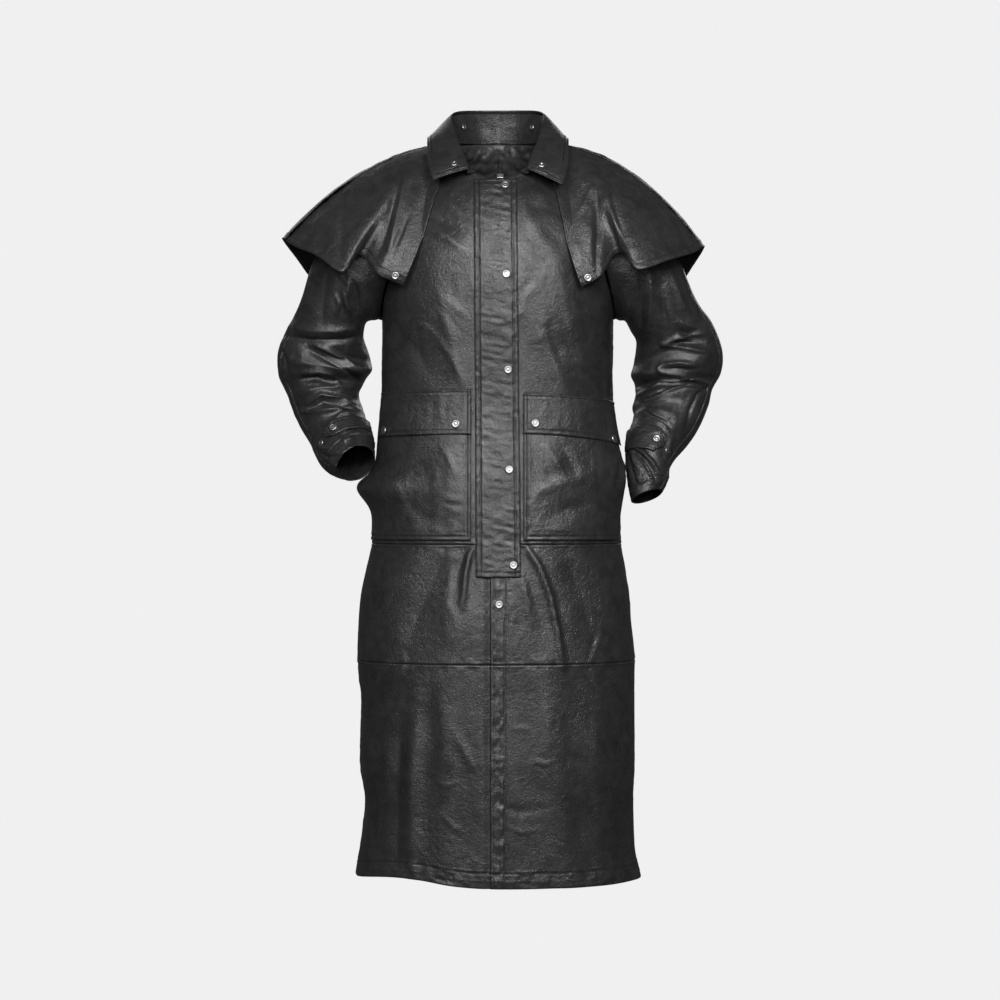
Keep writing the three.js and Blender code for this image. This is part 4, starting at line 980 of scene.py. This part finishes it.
def front_grid(tier, side):
    edge_x = LEFT_EDGE_X - (0 if side > 0 else 1)

    def middle_angle(z):
        return side * angle_at(np.full_like(z, edge_x), z)

    def lap_angle(u, z):
        return side * angle_at(mix(LEFT_EDGE_X - 1, RIGHT_EDGE_X, -u), z)

    u = graded(FRONT_WIDTH, 36 if side > 0 else 0, 12)
    if side < 0:
        u = np.concatenate([np.linspace(-1, -0.1, 10), u])
    levels = tier_levels(tier)
    uu, zz = np.meshgrid(u, levels)
    a = np.where(uu < 0, lap_angle(uu, zz), mix(middle_angle(zz), math.pi / 2, np.maximum(uu, 0)))
    z = zz
    if tier == "upper":
        uu2, ww = np.meshgrid(u, np.linspace(0, 1, SHOULDER_STEPS)[1:])
        a2, z2 = upper_place(np.maximum(uu2, 0), ww, middle_angle, -ARMHOLE_FRONT)
        lap_z = mix(ARMPIT_Z, NECK_FRONT_Z, ww)
        a2 = np.where(uu2 < 0, lap_angle(uu2, lap_z), a2)
        z2 = np.where(uu2 < 0, lap_z, z2)
        a, z, uu = np.concatenate([a, a2]), np.concatenate([z, z2]), np.concatenate([uu, uu2])
    a = side * a
    if tier == "lower":
        z = z + hem_rise(a) * (SKIRT_SEAM_Z - z) / (SKIRT_SEAM_Z - HEM_Z)
    drop = 0 if side > 0 else LAP_DROP * (1 - np.clip(uu / LAP_STEP, 0, 1))
    return step_back(on_body(a, z, -drop * np.ones_like(a)))


def back_grid(tier):
    u = 2 * graded(2 * FRONT_WIDTH, 8, 8, fine=2.0, coarse=7.4) - 1
    uu, zz = np.meshgrid(u, tier_levels(tier))
    a, z = math.pi - uu * math.pi / 2, zz
    if tier == "upper":
        uu2, ww = np.meshgrid(u, np.linspace(0, 1, SHOULDER_STEPS)[1:])
        a2, z2 = upper_place(np.abs(uu2), ww, lambda z: np.full_like(z, math.pi), ARMHOLE_BACK)
        a2 = np.where(uu2 < 0, 2 * math.pi - a2, a2)
        a, z = np.concatenate([a, a2]), np.concatenate([z, z2])
    if tier == "lower":
        turn = a - 2 * math.pi * np.round(a / (2 * math.pi))
        z = z + hem_rise(turn) * (SKIRT_SEAM_Z - z) / (SKIRT_SEAM_Z - HEM_Z)
    return step_back(on_body(a, z, np.zeros_like(a)))


def make_body():
    for tier in TIERS:
        ends = {"bottom": "hem" if tier == "lower" else "seam"}
        if tier != "upper":
            ends["top"] = "seam"
        for side, hand in ((1, "left"), (-1, "right")):
            seams = dict(ends, right="seam")
            if side > 0 and tier != "upper":
                seams["left"] = "edge"
            g = front_grid(tier, side)
            wall(f"front_{hand}_{tier}", g, body_relief(seams), out=side)
        seams = dict(ends, left="seam", right="seam")
        wall(f"back_{tier}", back_grid(tier), body_relief(seams), out=-1)


# part, first and last angle, columns, rows
SLEEVE_PARTS = [
    ("top", SLEEVE_SEAM_INNER, SLEEVE_SEAM_OUTER, 84, 236),
    ("under", SLEEVE_SEAM_OUTER, SLEEVE_SEAM_INNER + 360, 50, 160),
]
BACK_CREASE_DROP = 14.0


def make_sleeves():
    for side, hand in ((1, "left"), (-1, "right")):
        table = SLEEVE_LEFT_CREASES if side > 0 else SLEEVE_RIGHT_CREASES

        def relief(p, n, d, side=side, table=table):
            front = facing_front(n)
            behind = 1 - smoothstep(-n[..., 1], -0.35, 0.0)
            lower = p + np.array([0, 0, BACK_CREASE_DROP])
            h = 1.9 * creases(p, table) * front - 0.9 * creases(lower, table) * behind
            h = h + crumple(p, 140 + side, 0.9)
            h = h + seam(rim_of(d, "left", "right"), p, 150, 0.8)
            h = h + edge(d["top"], p, 152, at=26, deep=0.9) + seam(d["bottom"], p, 153, 0.6)
            fold_away = smoothstep(d["bottom"], 0, 45)
            return h * mix(0.35, 1, fold_away)

        for part, start, end, columns, count in SLEEVE_PARTS:
            rows = np.concatenate([np.linspace(0, 1, 14), np.linspace(1, len(SLEEVE_RIGHT), count)[1:]])
            phi, at = np.meshgrid(np.radians(np.linspace(start, end, columns)), rows)
            g = step_back(on_sleeve(side, at, phi))
            wall(f"sleeve_{hand}_{part}", g, relief, out=-side)


def make_tabs():
    for side, hand in ((1, "left"), (-1, "right")):
        u, v = np.meshgrid(graded(110, 10, 12, coarse=2.6), np.linspace(0, 1, 27))
        narrowing = np.clip((u - TAB["point"]) / (1 - TAB["point"]), 0, 1)
        half = TAB["halfWidth"] * (1 - 0.72 * narrowing)
        at = TAB["row"] - TAB["rise"] * u + half * (2 * v - 1)
        phi = np.radians(mix(TAB["start"], TAB["end"], u))
        g = on_sleeve(side, at, phi, np.full_like(u, TAB["gap"] + TRIM_LEATHER + 0.9))

        def relief(p, n, d):
            h = 0.5 * noise(p, 24, 171) + 0.4 * noise(p, 11, 172)
            for k, name in enumerate(("left", "right", "bottom", "top")):
                h = h + edge(d[name], p, 173 + k, at=5, deep=0.35)
            return h

        wall(f"cuff_tab_{hand}", g, relief, TRIM_LEATHER, out=-side)


def cape_relief(p, n, d):
    h = 0.9 * crumple(p, 201) + creases(p, CAPE_CREASES) * facing_front(n)
    return h + edge(d["top"], p, 203, at=13, deep=0.7)


def make_cape():
    down = graded(270, 0, 20, coarse=3.6)
    for side, hand in ((1, "left"), (-1, "right")):
        share = graded(330, 6, 20, coarse=3.6)
        at, dd = np.meshgrid(mix(CAPE_SEAM_RIB, 12, share), down)
        g = step_back(on_cape(side, at, dd))

        def relief(p, n, d):
            rim = -0.7 * bell(d["right"], 1.4) - 0.25 * bell(d["right"] - 5, 1.3)
            return cape_relief(p, n, d) + seam(d["left"], p, 205, 0.8) + rim

        wall(f"cape_front_{hand}", g, relief, out=side)
    at, dd = np.meshgrid(np.linspace(-CAPE_SEAM_RIB, CAPE_SEAM_RIB, 130), down)
    g = np.where((at < 0)[..., None], on_cape(-1, np.abs(at), dd), on_cape(1, np.abs(at), dd))

    def back_relief(p, n, d):
        return cape_relief(p, n, d) + seam(rim_of(d, "left", "right"), p, 205, 0.8)

    wall("cape_back", step_back(g), back_relief, out=-1)


def make_collar_pieces():
    at = STATIONS * (2 * graded(560, 14, 14, coarse=3.6) - 1)

    def leaf_relief(p, n, d):
        rim = rim_of(d, "left", "right", "top")
        return edge(rim, p, 301, at=6.5, deep=0.5) + 0.35 * crumple(p, 302)

    aa, vv = np.meshgrid(at, graded(80, 0, 14, coarse=2.8))
    wall("collar_leaf", on_leaf(aa, vv), leaf_relief, out=-1)
    aa, vv = np.meshgrid(at, np.linspace(0, 1, 30))

    def stand_relief(p, n, d):
        up = d["bottom"] / np.maximum(d["bottom"] + d["top"], 1)
        root = -0.6 * bell(d["bottom"], 5)
        return 0.6 * crumple(p, 303) + root + 4.5 * up**2 + creases(p, STAND_CREASES)

    wall("collar_stand", on_stand(aa, vv), stand_relief, out=-1)


def make_lining():
    u, w = np.meshgrid(np.linspace(-LINING_REACH, LINING_REACH, 112), np.linspace(LINING_START, 1, 56))
    a, z = upper_place(np.abs(u), w, lambda z: np.full_like(z, math.pi), ARMHOLE_BACK)
    a = np.where(u < 0, 2 * math.pi - a, a)
    g = on_body(a, z, np.full_like(a, -(LEATHER + LAYER_GAP) - LINING_SLACK))

    def relief(p, n, d):
        wrinkle = 7.0 * (0.3 - np.abs(noise(p, 22, 401))) + 4.5 * (0.3 - np.abs(noise(p, 12, 402)))
        return (wrinkle - 2.4) * np.clip(rim_of(d, "top", "bottom") / 8, 0, 1)

    wall("neck_lining", g, relief, LINING, out=-1)


def make_flap():
    z0 = np.linspace(FLAP["bottomZ"], FLAP["topZ"], 290)
    u, z = np.meshgrid(np.linspace(0, 1, 54), z0)
    v = (z - FLAP["bottomZ"]) / (FLAP["topZ"] - FLAP["bottomZ"])
    x = mix(mix(FLAP["rightBottom"], FLAP["rightTop"], v), mix(FLAP["leftBottom"], FLAP["leftTop"], v), u)
    g = on_body(angle_at(x, z), z, np.full_like(z, LAYER_GAP + TRIM_LEATHER + 0.8))

    def relief(p, n, d):
        rim = rim_of(d, "left", "right")
        h = edge(rim, p, 501, at=8.5, deep=1.2)
        h = h + edge(rim_of(d, "top", "bottom"), p, 502, at=8.5, deep=1.0)
        slant = stack(0.3 * p[..., 0], p[..., 1], p[..., 2] + 0.18 * p[..., 0])
        bars = 0.9 * (0.4 - np.abs(noise(slant, 12, 503)) ** 0.8) + 0.55 * noise(slant, 6, 505)
        h = h + bars * smoothstep(rim, 7, 17) + 0.9 * noise(p, 34, 504)
        h = h + 0.9 * (0.4 - np.abs(noise(p * np.array([0.7, 1, 1.0]), 12, 507))) * smoothstep(rim, 7, 14)
        h = h + 0.45 * noise(p * np.array([0.5, 1, 1.0]), 6.0, 506) * (1 - smoothstep(rim, 7, 12))
        for stud in STUDS_ON_FLAP:
            away = np.hypot(p[..., 0] - stud[0], p[..., 2] - stud[1])
            h = h - 0.9 * bell(away, 11)
        return h

    wall("storm_flap", g, relief, TRIM_LEATHER, out=1)


def make_zip_end():
    heights = np.linspace(ZIP_END["bottomZ"], ZIP_END["topZ"], 12)
    x, z = np.meshgrid(np.linspace(ZIP_END["fromX"], ZIP_END["toX"], 16), heights)
    g = on_body(angle_at(x, z), z, np.full_like(z, ZIP_END["gap"] + ZIP_END["thickness"]))

    def relief(p, n, d):
        rim = rim_of(d, *d)
        return -0.7 * bell(rim, 0.9) - 0.4 * bell(rim - 2.6, 0.7)

    wall("zip_end", g, relief, ZIP_END["thickness"] - 0.4, out=1)


def make_pockets():
    for hand, pocket in POCKETS.items():
        side = pocket["side"]

        def column(u, z, outer):
            start = side * angle_at(np.full_like(z, side * pocket["inner"]), z)
            return side * mix(start, math.radians(outer), u)

        tall = POCKET_TOP - POCKET_BOTTOM
        u, z = np.meshgrid(graded(POCKET_WIDTH, 20, 8), POCKET_BOTTOM + tall * graded(tall, 20, 0))
        g = on_pocket(pocket, column(u, z, pocket["outer"]), z, TRIM_LEATHER + 0.3)

        def relief(p, n, d):
            rim = rim_of(d, "left", "bottom")
            h = edge(rim, p, 601, at=7, deep=0.9) + crumple(p, 602, 0.9) * smoothstep(rim, 4, 22)
            return h + creases(p, POCKET_CREASES) * facing_front(n) * smoothstep(rim, 6, 24)

        wall(f"pocket_{hand}", g, relief, TRIM_LEATHER, out=side)
        u, v = np.meshgrid(graded(POCKET_WIDTH, 12, 12), graded(75, 12, 12, coarse=3))
        low = pocket["flapBottom"] - pocket["flapBottomDrop"] * u**2
        z = mix(low, pocket["flapTop"] - pocket["flapTopDrop"] * u**2, v)
        a = column(u, z, POCKET_FLAP_OUTER)
        g = on_pocket(pocket, a, z, 2 * TRIM_LEATHER + POCKET_GAP + 0.5)

        def flap_relief(p, n, d):
            rim = rim_of(d, "left", "right", "bottom")
            h = edge(rim, p, 611, at=7, deep=0.6) + 0.5 * crumple(p, 612) * smoothstep(rim, 4, 20)
            ribs = 0.8 * (0.42 - np.abs(noise(p * np.array([1, 1, 0.25]), 11, 614))) * smoothstep(rim, 8, 22)
            return h + ribs + edge(d["top"], p, 613, at=6, deep=0.6)

        wall(f"pocket_flap_{hand}", g, flap_relief, TRIM_LEATHER, out=side)


# Snaps

def surface_frame(f, u, v, inside):
    e = 0.02
    one = lambda a, b: f(np.array([[a]], float), np.array([[b]], float))[0, 0]
    p = one(u, v)
    n = unit(np.cross(one(u + e, v) - one(u - e, v), one(u, v + e) - one(u, v - e)))
    return p, n if np.dot(n, p - np.asarray(inside, float)) > 0 else -n


def turned(name, profile, place, normal, seat):
    """A solid of revolution about the normal, its foot sunk or raised by its seat."""
    ring = np.array([rh for rh in profile if rh[0] > 0])
    helper = np.array([0.0, 0, 1]) if abs(normal[2]) < 0.9 else np.array([1.0, 0, 0])
    x = unit(np.cross(helper, normal))
    y = np.cross(normal, x)
    origin = place + normal * seat
    turn = 2 * math.pi * np.arange(TURNS) / TURNS
    spoke = x * np.cos(turn)[:, None] + y * np.sin(turn)[:, None]
    rings = origin + normal * ring[:, 1, None, None] + spoke * ring[:, 0, None, None]
    ends = [origin + normal * profile[0][1]], [origin + normal * profile[-1][1]]
    points = np.concatenate([ends[0], rings.reshape(-1, 3), ends[1]])
    last = 1 + (len(ring) - 1) * TURNS
    around = [(k, (k + 1) % TURNS) for k in range(TURNS)]
    faces = [(0, 1 + k, 1 + after) for k, after in around]
    for a in range(1, last, TURNS):
        faces += [(a + k, a + TURNS + k, a + TURNS + after, a + after) for k, after in around]
    faces += [(len(points) - 1, last + after, last + k) for k, after in around]
    mesh = bpy.data.meshes.new(name)
    mesh.from_pydata([tuple(p * MM) for p in points], [], faces)
    mesh.polygons.foreach_set("use_smooth", np.full(len(faces), True))
    obj = bpy.data.objects.new(name, mesh)
    bpy.context.scene.collection.objects.link(obj)
    PIECES[name] = dict(obj=obj)


def make_studs():
    def seat(name, face, u, v, inside, height, profile=CAP):
        turned(name, profile, *surface_frame(face, u, v, inside), height)

    def front(above):
        return lambda x, z: on_body(angle_at(x, z), z, np.full_like(z, above))

    for k, (x, z) in enumerate(STUDS_ON_FLAP):
        seat(f"stud_flap_{k + 1}", front(LAYER_GAP + TRIM_LEATHER), x, z, (0, 0, z), 0.75)
    seat("stud_skirt", front(0), *STUD_ON_SKIRT, (0, 0, STUD_ON_SKIRT[1]), 0.75)
    for hand, pocket in POCKETS.items():
        side = pocket["side"]
        above = 2 * TRIM_LEATHER + POCKET_GAP
        corner = lambda a, z: on_pocket(pocket, a, z, np.full_like(z, above))
        z = pocket["flapBottom"] + 18
        seat(f"stud_pocket_{hand}_inner", lambda x, z: corner(angle_at(x, z), z), side * pocket["snapX"], z,
             (0, 0, z), 1.1)
        low = pocket["flapBottom"] - pocket["flapBottomDrop"] + 11
        outer = side * math.radians(POCKET_FLAP_OUTER - 7)
        seat(f"stud_pocket_{hand}_outer", corner, outer, low, (0, 0, z), 1.1)
        seat(f"stud_cape_{hand}", lambda a, b: on_cape(side, a, b), 11.62, 0.93, (0, 0, -200), 0.6)
        middle = RINGS[side][0][-2]
        tab = lambda phi, at: on_sleeve(side, at, phi, np.full_like(at, TAB["gap"] + TRIM_LEATHER))
        seat(f"stud_cuff_{hand}", tab, math.radians(92), 12.37, middle, 1.2)
        cuff = lambda phi, at: on_sleeve(side, at, phi)
        seat(f"stud_spare_{hand}", cuff, math.radians(128), 12.6, middle, 0.6, SMALL_CAP)
        leaf, stand = lambda a, v: on_leaf(side * a, v), lambda a, v: on_stand(side * a, v)
        seat(f"stud_collar_{hand}", leaf, 6.3, 0.3, (0, -15, 40), 1.2, SMALL_CAP)
        beyond = 2 * stand(np.array([[1.9]]), np.array([[0.55]]))[0, 0]
        seat(f"stud_hood_{hand}", stand, 1.9, 0.55, beyond, 2.7, SMALL_CAP)


# Stitching


def line_beside(piece, side, away):
    """Points and normals on a made wall, along one of its edges at a distance from it."""
    g, n = PIECES[piece]["grid"], PIECES[piece]["normal"]
    if side in ("bottom", "top"):
        g, n = g.transpose(1, 0, 2), n.transpose(1, 0, 2)
    if side in ("right", "top"):
        g, n = g[:, ::-1], n[:, ::-1]
    points, normals = [], []
    for row, up, across in zip(g, n, lengths(g)[0]):
        k = min(int(np.searchsorted(across, away)), len(row) - 1)
        t = (away - across[k - 1]) / max(across[k] - across[k - 1], 1e-6)
        points.append(mix(row[k - 1], row[k], t))
        normals.append(mix(up[k - 1], up[k], t))
    return np.array(points), unit(np.array(normals))


def stitches(lines):
    """Each stitch is a thin four-sided hump of thread over the leather."""
    points, faces = [], []
    for line, normal in lines:
        step = np.linalg.norm(np.diff(line, axis=0), axis=1)
        place = np.concatenate([[0], np.cumsum(step)])
        count = int(place[-1] / PITCH)
        starts = (np.arange(count) + 0.5) * PITCH - STITCH / 2

        def along_line(values, at):
            return np.stack([np.interp(at, place, values[:, j]) for j in range(3)], axis=1)

        ends = [along_line(line, starts + share * STITCH) for share in (0, 0.5, 1)]
        up = unit(along_line(normal, starts + STITCH / 2))
        side = np.cross(unit(ends[2] - ends[0]), up)
        base = len(points)
        for middle, lift, size in zip(ends, (-0.15, 0.42, -0.15), (0.7, 1.0, 0.7)):
            for sx, sy in ((1, 0), (0, 1), (-1, 0), (0, -1)):
                points.extend(middle + up * lift + (side * sx + up * sy) * THREAD * size)
        for i in range(count):
            for ring in range(2):
                for s in range(4):
                    a = base + (ring * 4 + s) * count + i
                    b = base + (ring * 4 + (s + 1) % 4) * count + i
                    faces.append((a, b, b + 4 * count, a + 4 * count))
    return new_mesh("stitching", points, faces)


# piece, edges, distances from each edge
STITCHING = [
    ("storm_flap", ("left", "right"), (3.0, 8.5)),
    ("storm_flap", ("top", "bottom"), (8.5,)),
    ("cape_back", ("top",), (12.0,)),
    ("collar_leaf", ("left", "right", "top"), (6.5,)),
    ("front_left_middle", ("left",), (6.0, 26.0)),
    ("front_left_lower", ("left",), (6.0, 26.0)),
]
STITCHING_OF_HANDS = [
    ("pocket", ("left", "bottom"), (2.5, 7.0)),
    ("pocket_flap", ("left", "right", "bottom"), (7.0,)),
    ("pocket_flap", ("top",), (2.5, 6.0)),
    ("cape_front", ("top",), (12.0,)),
    ("cape_front", ("left", "right"), (5.0,)),
    ("cuff_tab", ("left", "right", "top", "bottom"), (5.0,)),
]


def make_stitching():
    table = list(STITCHING)
    for hand in ("left", "right"):
        table += [(f"{piece}_{hand}", edges, away) for piece, edges, away in STITCHING_OF_HANDS]
        table += [(f"sleeve_{hand}_{part}", ("top",), (26.0,)) for part in ("top", "under")]
        table.append((f"sleeve_{hand}_top", ("right",), (4.5,)))
    for panel in ("front_left", "front_right", "back"):
        table += [(f"{panel}_{tier}", ("top",), (5.0,)) for tier in ("middle", "lower")]
        table.append((f"{panel}_lower", ("bottom",), (26.0,)))
    return stitches([line_beside(piece, side, away) for piece, sides, aways in table for side in sides
                     for away in aways])


# Materials

def add_node(tree, kind, links=(), values=(), **settings):
    """A shader node with its settings, the sources linked to its sockets and the values of others."""
    node = tree.nodes.new("ShaderNode" + kind)
    for key, value in settings.items():
        setattr(node, key, value)
    for key, value in dict(values).items():
        node.inputs[key].default_value = value
    for key, source in dict(links).items():
        tree.links.new(source, node.inputs[key])
    return node


def new_material(name, values=()):
    material = bpy.data.materials.new(name)
    material.use_nodes = True
    tree = material.node_tree
    tree.nodes.clear()
    shader = add_node(tree, "BsdfPrincipled", values=values)
    add_node(tree, "OutputMaterial", {"Surface": shader.outputs["BSDF"]})
    return material, tree, shader, add_node(tree, "TexCoord").outputs["Object"]


def ramp(tree, source, low, high, a, b):
    values = {"From Min": low, "From Max": high, "To Min": a, "To Max": b}
    return add_node(tree, "MapRange", {"Value": source}, values).outputs["Result"]


def combine(tree, operation, *sources):
    return add_node(tree, "Math", enumerate(sources), operation=operation).outputs["Value"]


def between(tree, share, dark, light):
    values = {"A": (*dark, 1), "B": (*light, 1)}
    return add_node(tree, "Mix", {"Factor": share}, values, data_type="RGBA").outputs["Result"]


def bumped(tree, layers):
    """The normal under bumps of the given heights, strengths and distances in metres."""
    normal = None
    for source, strength, distance in layers:
        bump = add_node(tree, "Bump", {"Height": source}, {"Strength": strength, "Distance": distance})
        if normal is not None:
            tree.links.new(normal, bump.inputs["Normal"])
        normal = bump.outputs["Normal"]
    return normal


def texture(tree, place, scale, detail=4.0, roughness=0.55, distortion=0.0, output="Fac"):
    values = {"Scale": scale, "Detail": detail, "Roughness": roughness, "Distortion": distortion}
    return add_node(tree, "TexNoise", {"Vector": place}, values, noise_type="FBM").outputs[output]


def cracks(tree, place, values):
    node = add_node(tree, "TexVoronoi", {"Vector": place}, values, feature="DISTANCE_TO_EDGE")
    return node.outputs["Distance"]


def leather_material():
    values = {"Specular IOR Level": 0.5, "Coat Weight": 0.4, "Coat Roughness": 0.17}
    material, tree, shader, place = new_material("hide", values)
    wrinkle = texture(tree, place, 36.0, distortion=1.0)
    crackle = texture(tree, place, 150.0, 4.0, 0.6, 1.2)
    cells = cracks(tree, place, {"Scale": 400.0, "Randomness": 0.95})
    drift = texture(tree, place, 55.0, 3.0, 0.5, output="Color")
    bend = {1: (0.035, 0.035, 0.035)}
    bent = add_node(tree, "VectorMath", {0: drift, 2: place}, bend, operation="MULTIPLY_ADD")
    network = cracks(tree, bent.outputs["Vector"], {"Scale": 48.0})
    dark, light = (0.02, 0.02, 0.0205), (0.036, 0.036, 0.0365)
    color = between(tree, ramp(tree, wrinkle, 0.35, 0.7, 0, 1), dark, light)
    tree.links.new(color, shader.inputs["Base Color"])
    rough = ramp(tree, texture(tree, place, 14.0, 3.0), 0.3, 0.7, 0.3, 0.42)
    rough = combine(tree, "ADD", rough, ramp(tree, crackle, 0.3, 0.7, 0.0, 0.09))
    tree.links.new(rough, shader.inputs["Roughness"])

    def patchy(height, scale, detail, low, high, least):
        share = ramp(tree, texture(tree, place, scale, detail), low, high, least, 1)
        return combine(tree, "MULTIPLY", height, share)

    normal = bumped(tree, (
        (patchy(ramp(tree, wrinkle, 0.25, 0.75, 0, 1), 7.0, 2.0, 0.4, 0.62, 0.25), 0.5, 0.0016),
        (patchy(ramp(tree, network, 0.0, 0.12, 0, 1), 11.0, 2.0, 0.46, 0.6, 0), 0.3, 0.0006),
        (ramp(tree, crackle, 0.25, 0.75, 0, 1), 0.55, 0.0007),
        (patchy(ramp(tree, cells, 0.0, 0.28, 0, 1), 22.0, 3.0, 0.4, 0.6, 0.25), 0.5, 0.0004),
        (texture(tree, place, 1500.0, 2.0), 0.3, 0.0001),
    ))
    tree.links.new(normal, shader.inputs["Normal"])
    tree.links.new(normal, shader.inputs["Coat Normal"])
    return material


def lining_material():
    material, tree, shader, place = new_material("neck_lining")
    weave = add_node(tree, "TexWave", {"Vector": place}, {"Scale": 700.0, "Distortion": 0.6}).outputs["Fac"]
    crease_and_painted_light = texture(tree, place, 60.0, 5.0, 0.6, 0.8)
    # Painted light: the lining's colour is lifted to stand in for the light that the collar and fronts keep
    # off it. It runs lighter on the crease crests and darker in the troughs of the same noise that bumps it,
    # as painted highlights and painted shade on a dark lining.
    color = between(tree, crease_and_painted_light, (0.012, 0.012, 0.0125), (0.085, 0.085, 0.087))
    tree.links.new(color, shader.inputs["Base Color"])
    tree.links.new(ramp(tree, crease_and_painted_light, 0.3, 0.7, 0.3, 0.46), shader.inputs["Roughness"])
    tree.links.new(bumped(tree, ((crease_and_painted_light, 0.6, 0.002), (weave, 0.3, 0.0001))), shader.inputs["Normal"])
    return material


def metal_material():
    material, tree, shader, place = new_material("studs", {"Metallic": 1.0})
    scuff = texture(tree, place, 400.0, 5.0, 0.65)
    tree.links.new(between(tree, scuff, (0.34, 0.34, 0.33), (0.55, 0.55, 0.54)), shader.inputs["Base Color"])
    tree.links.new(ramp(tree, scuff, 0.3, 0.7, 0.32, 0.46), shader.inputs["Roughness"])
    tree.links.new(bumped(tree, ((scuff, 0.15, 0.0001),)), shader.inputs["Normal"])
    return material


def thread_material():
    material, tree, shader, place = new_material("thread", {"Base Color": (0.01, 0.01, 0.01, 1)})
    twist = texture(tree, place, 2500.0, 2.0)
    tree.links.new(ramp(tree, twist, 0.3, 0.7, 0.6, 0.8), shader.inputs["Roughness"])
    return material


# Light, floor and camera

BACKGROUND = 0.871
AMBIENT, FLOOR_GLOW = 0.06, 0.05
FLOOR_Z, FLOOR_HALF = -1420, 4000

# name, place, target, width and height in metres, watts
LIGHTS = [
    ("key", (1.0, -3.1, 0.95), (0.05, 0, -0.42), (0.9, 0.9), 50),
    ("low", (-0.1, -4.5, -0.15), (0, 0, -0.7), (2.4, 0.7), 17),
    ("front", (-1.25, -3.7, 1.1), (-0.05, 0, -0.5), (1.2, 1.2), 50),
    ("fill", (0.0, -5.2, 1.8), (0, 0, -0.7), (4.0, 2.4), 60),
    ("rear", (-1.2, 3.4, 1.6), (0, 0, -0.5), (2.0, 2.0), 12),
    ("rear_low", (1.2, 3.4, 0.9), (0, 0, -0.6), (1.0, 1.6), 8),
]


def add_light(name, place, target, size, power):
    data = bpy.data.lights.new(name, "AREA")
    data.shape = "RECTANGLE"
    data.size, data.size_y = size
    data.energy = power
    light = bpy.data.objects.new(name, data)
    light.location = place
    light.rotation_euler = (Vector(target) - Vector(place)).to_track_quat("-Z", "Y").to_euler()
    bpy.context.scene.collection.objects.link(light)


def make_stage():
    """A pale floor and background that the camera sees, with a dim even light from all around."""
    world = bpy.data.worlds.new("studio")
    bpy.context.scene.world = world
    world.use_nodes = True
    tree = world.node_tree
    tree.nodes.clear()
    seen = add_node(tree, "Background", values={"Color": (BACKGROUND, BACKGROUND, BACKGROUND, 1)})
    dim = add_node(tree, "Background", values={"Color": (1, 1, 1, 1), "Strength": AMBIENT})
    by_ray = {0: add_node(tree, "LightPath").outputs["Is Camera Ray"]}
    by_ray.update({1: dim.outputs["Background"], 2: seen.outputs["Background"]})
    add_node(tree, "OutputWorld", {"Surface": add_node(tree, "MixShader", by_ray).outputs["Shader"]})

    corners = [(x * FLOOR_HALF, y * FLOOR_HALF, FLOOR_Z) for x, y in ((-1, -1), (1, -1), (1, 1), (-1, 1))]
    floor = new_mesh("floor", corners, [(0, 1, 2, 3)], smooth=False)
    values = {"Base Color": (0, 0, 0, 1), "Roughness": 0.9, "Specular IOR Level": 0.0,
              "Emission Color": (1, 1, 1, 1)}
    material, tree, shader, _ = new_material("floor", values)
    ray = add_node(tree, "LightPath").outputs["Is Camera Ray"]
    tree.links.new(ramp(tree, ray, 0, 1, FLOOR_GLOW, BACKGROUND), shader.inputs["Emission Strength"])
    floor.data.materials.append(material)
    floor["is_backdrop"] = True
    for light in LIGHTS:
        add_light(*light)


def make_camera():
    data = bpy.data.cameras.new("camera")
    data.sensor_fit = "HORIZONTAL"
    data.sensor_width = SENSOR
    data.lens = SENSOR * -CAMERA_Y / (PHOTO_SIZE * MM_PER_PIXEL)
    data.clip_start, data.clip_end = 0.1, 50
    camera = bpy.data.objects.new("camera", data)
    camera.location = (CAMERA_X * MM, CAMERA_Y * MM, CAMERA_Z * MM)
    camera.rotation_euler = (math.pi / 2, 0, 0)
    bpy.context.scene.collection.objects.link(camera)
    bpy.context.scene.camera = camera


def surface_area(obj):
    return sum(polygon.area for polygon in obj.data.polygons)


def cut_of(name):
    """The cut of a piece before it is sewn: width, length and flat area, in metres."""
    g = PIECES[name]["grid"]
    across, up = lengths(g)
    width, length = float(across[:, -1].max()), float(up[-1].max())
    area = surface_area(PIECES[name]["obj"]) / 2
    share = min(0.98, max(0.32, area / (width * length * MM * MM)))
    return round(width * MM, 3), round(length * MM, 3), round(share * width * length * MM * MM, 4)


def main():
    bpy.context.scene.view_settings.view_transform = "Standard"
    make_camera()
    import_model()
    before = [list(corner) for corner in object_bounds()]
    make_body()
    make_sleeves()
    make_tabs()
    make_cape()
    make_collar_pieces()
    make_lining()
    make_zip_end()
    make_flap()
    make_pockets()
    make_studs()
    thread = make_stitching()
    hide, lining, metal = leather_material(), lining_material(), metal_material()
    for name, piece in PIECES.items():
        obj = piece["obj"]
        obj.name = f"look_{name}"
        is_metal = name.startswith("stud_") or name == "zip_end"
        slot, material = ("studs", metal) if is_metal else ("hide", hide)
        if name == "neck_lining":
            slot, material = "neck_lining", lining
        obj.data.materials.append(material)
        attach(obj, "root")
        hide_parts(name)
        if slot != "studs":
            width, length, area = cut_of(name)
    thread.data.materials.append(thread_material())
    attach(thread, "root")
    make_stage()
    after = [list(corner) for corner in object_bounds()]


main()
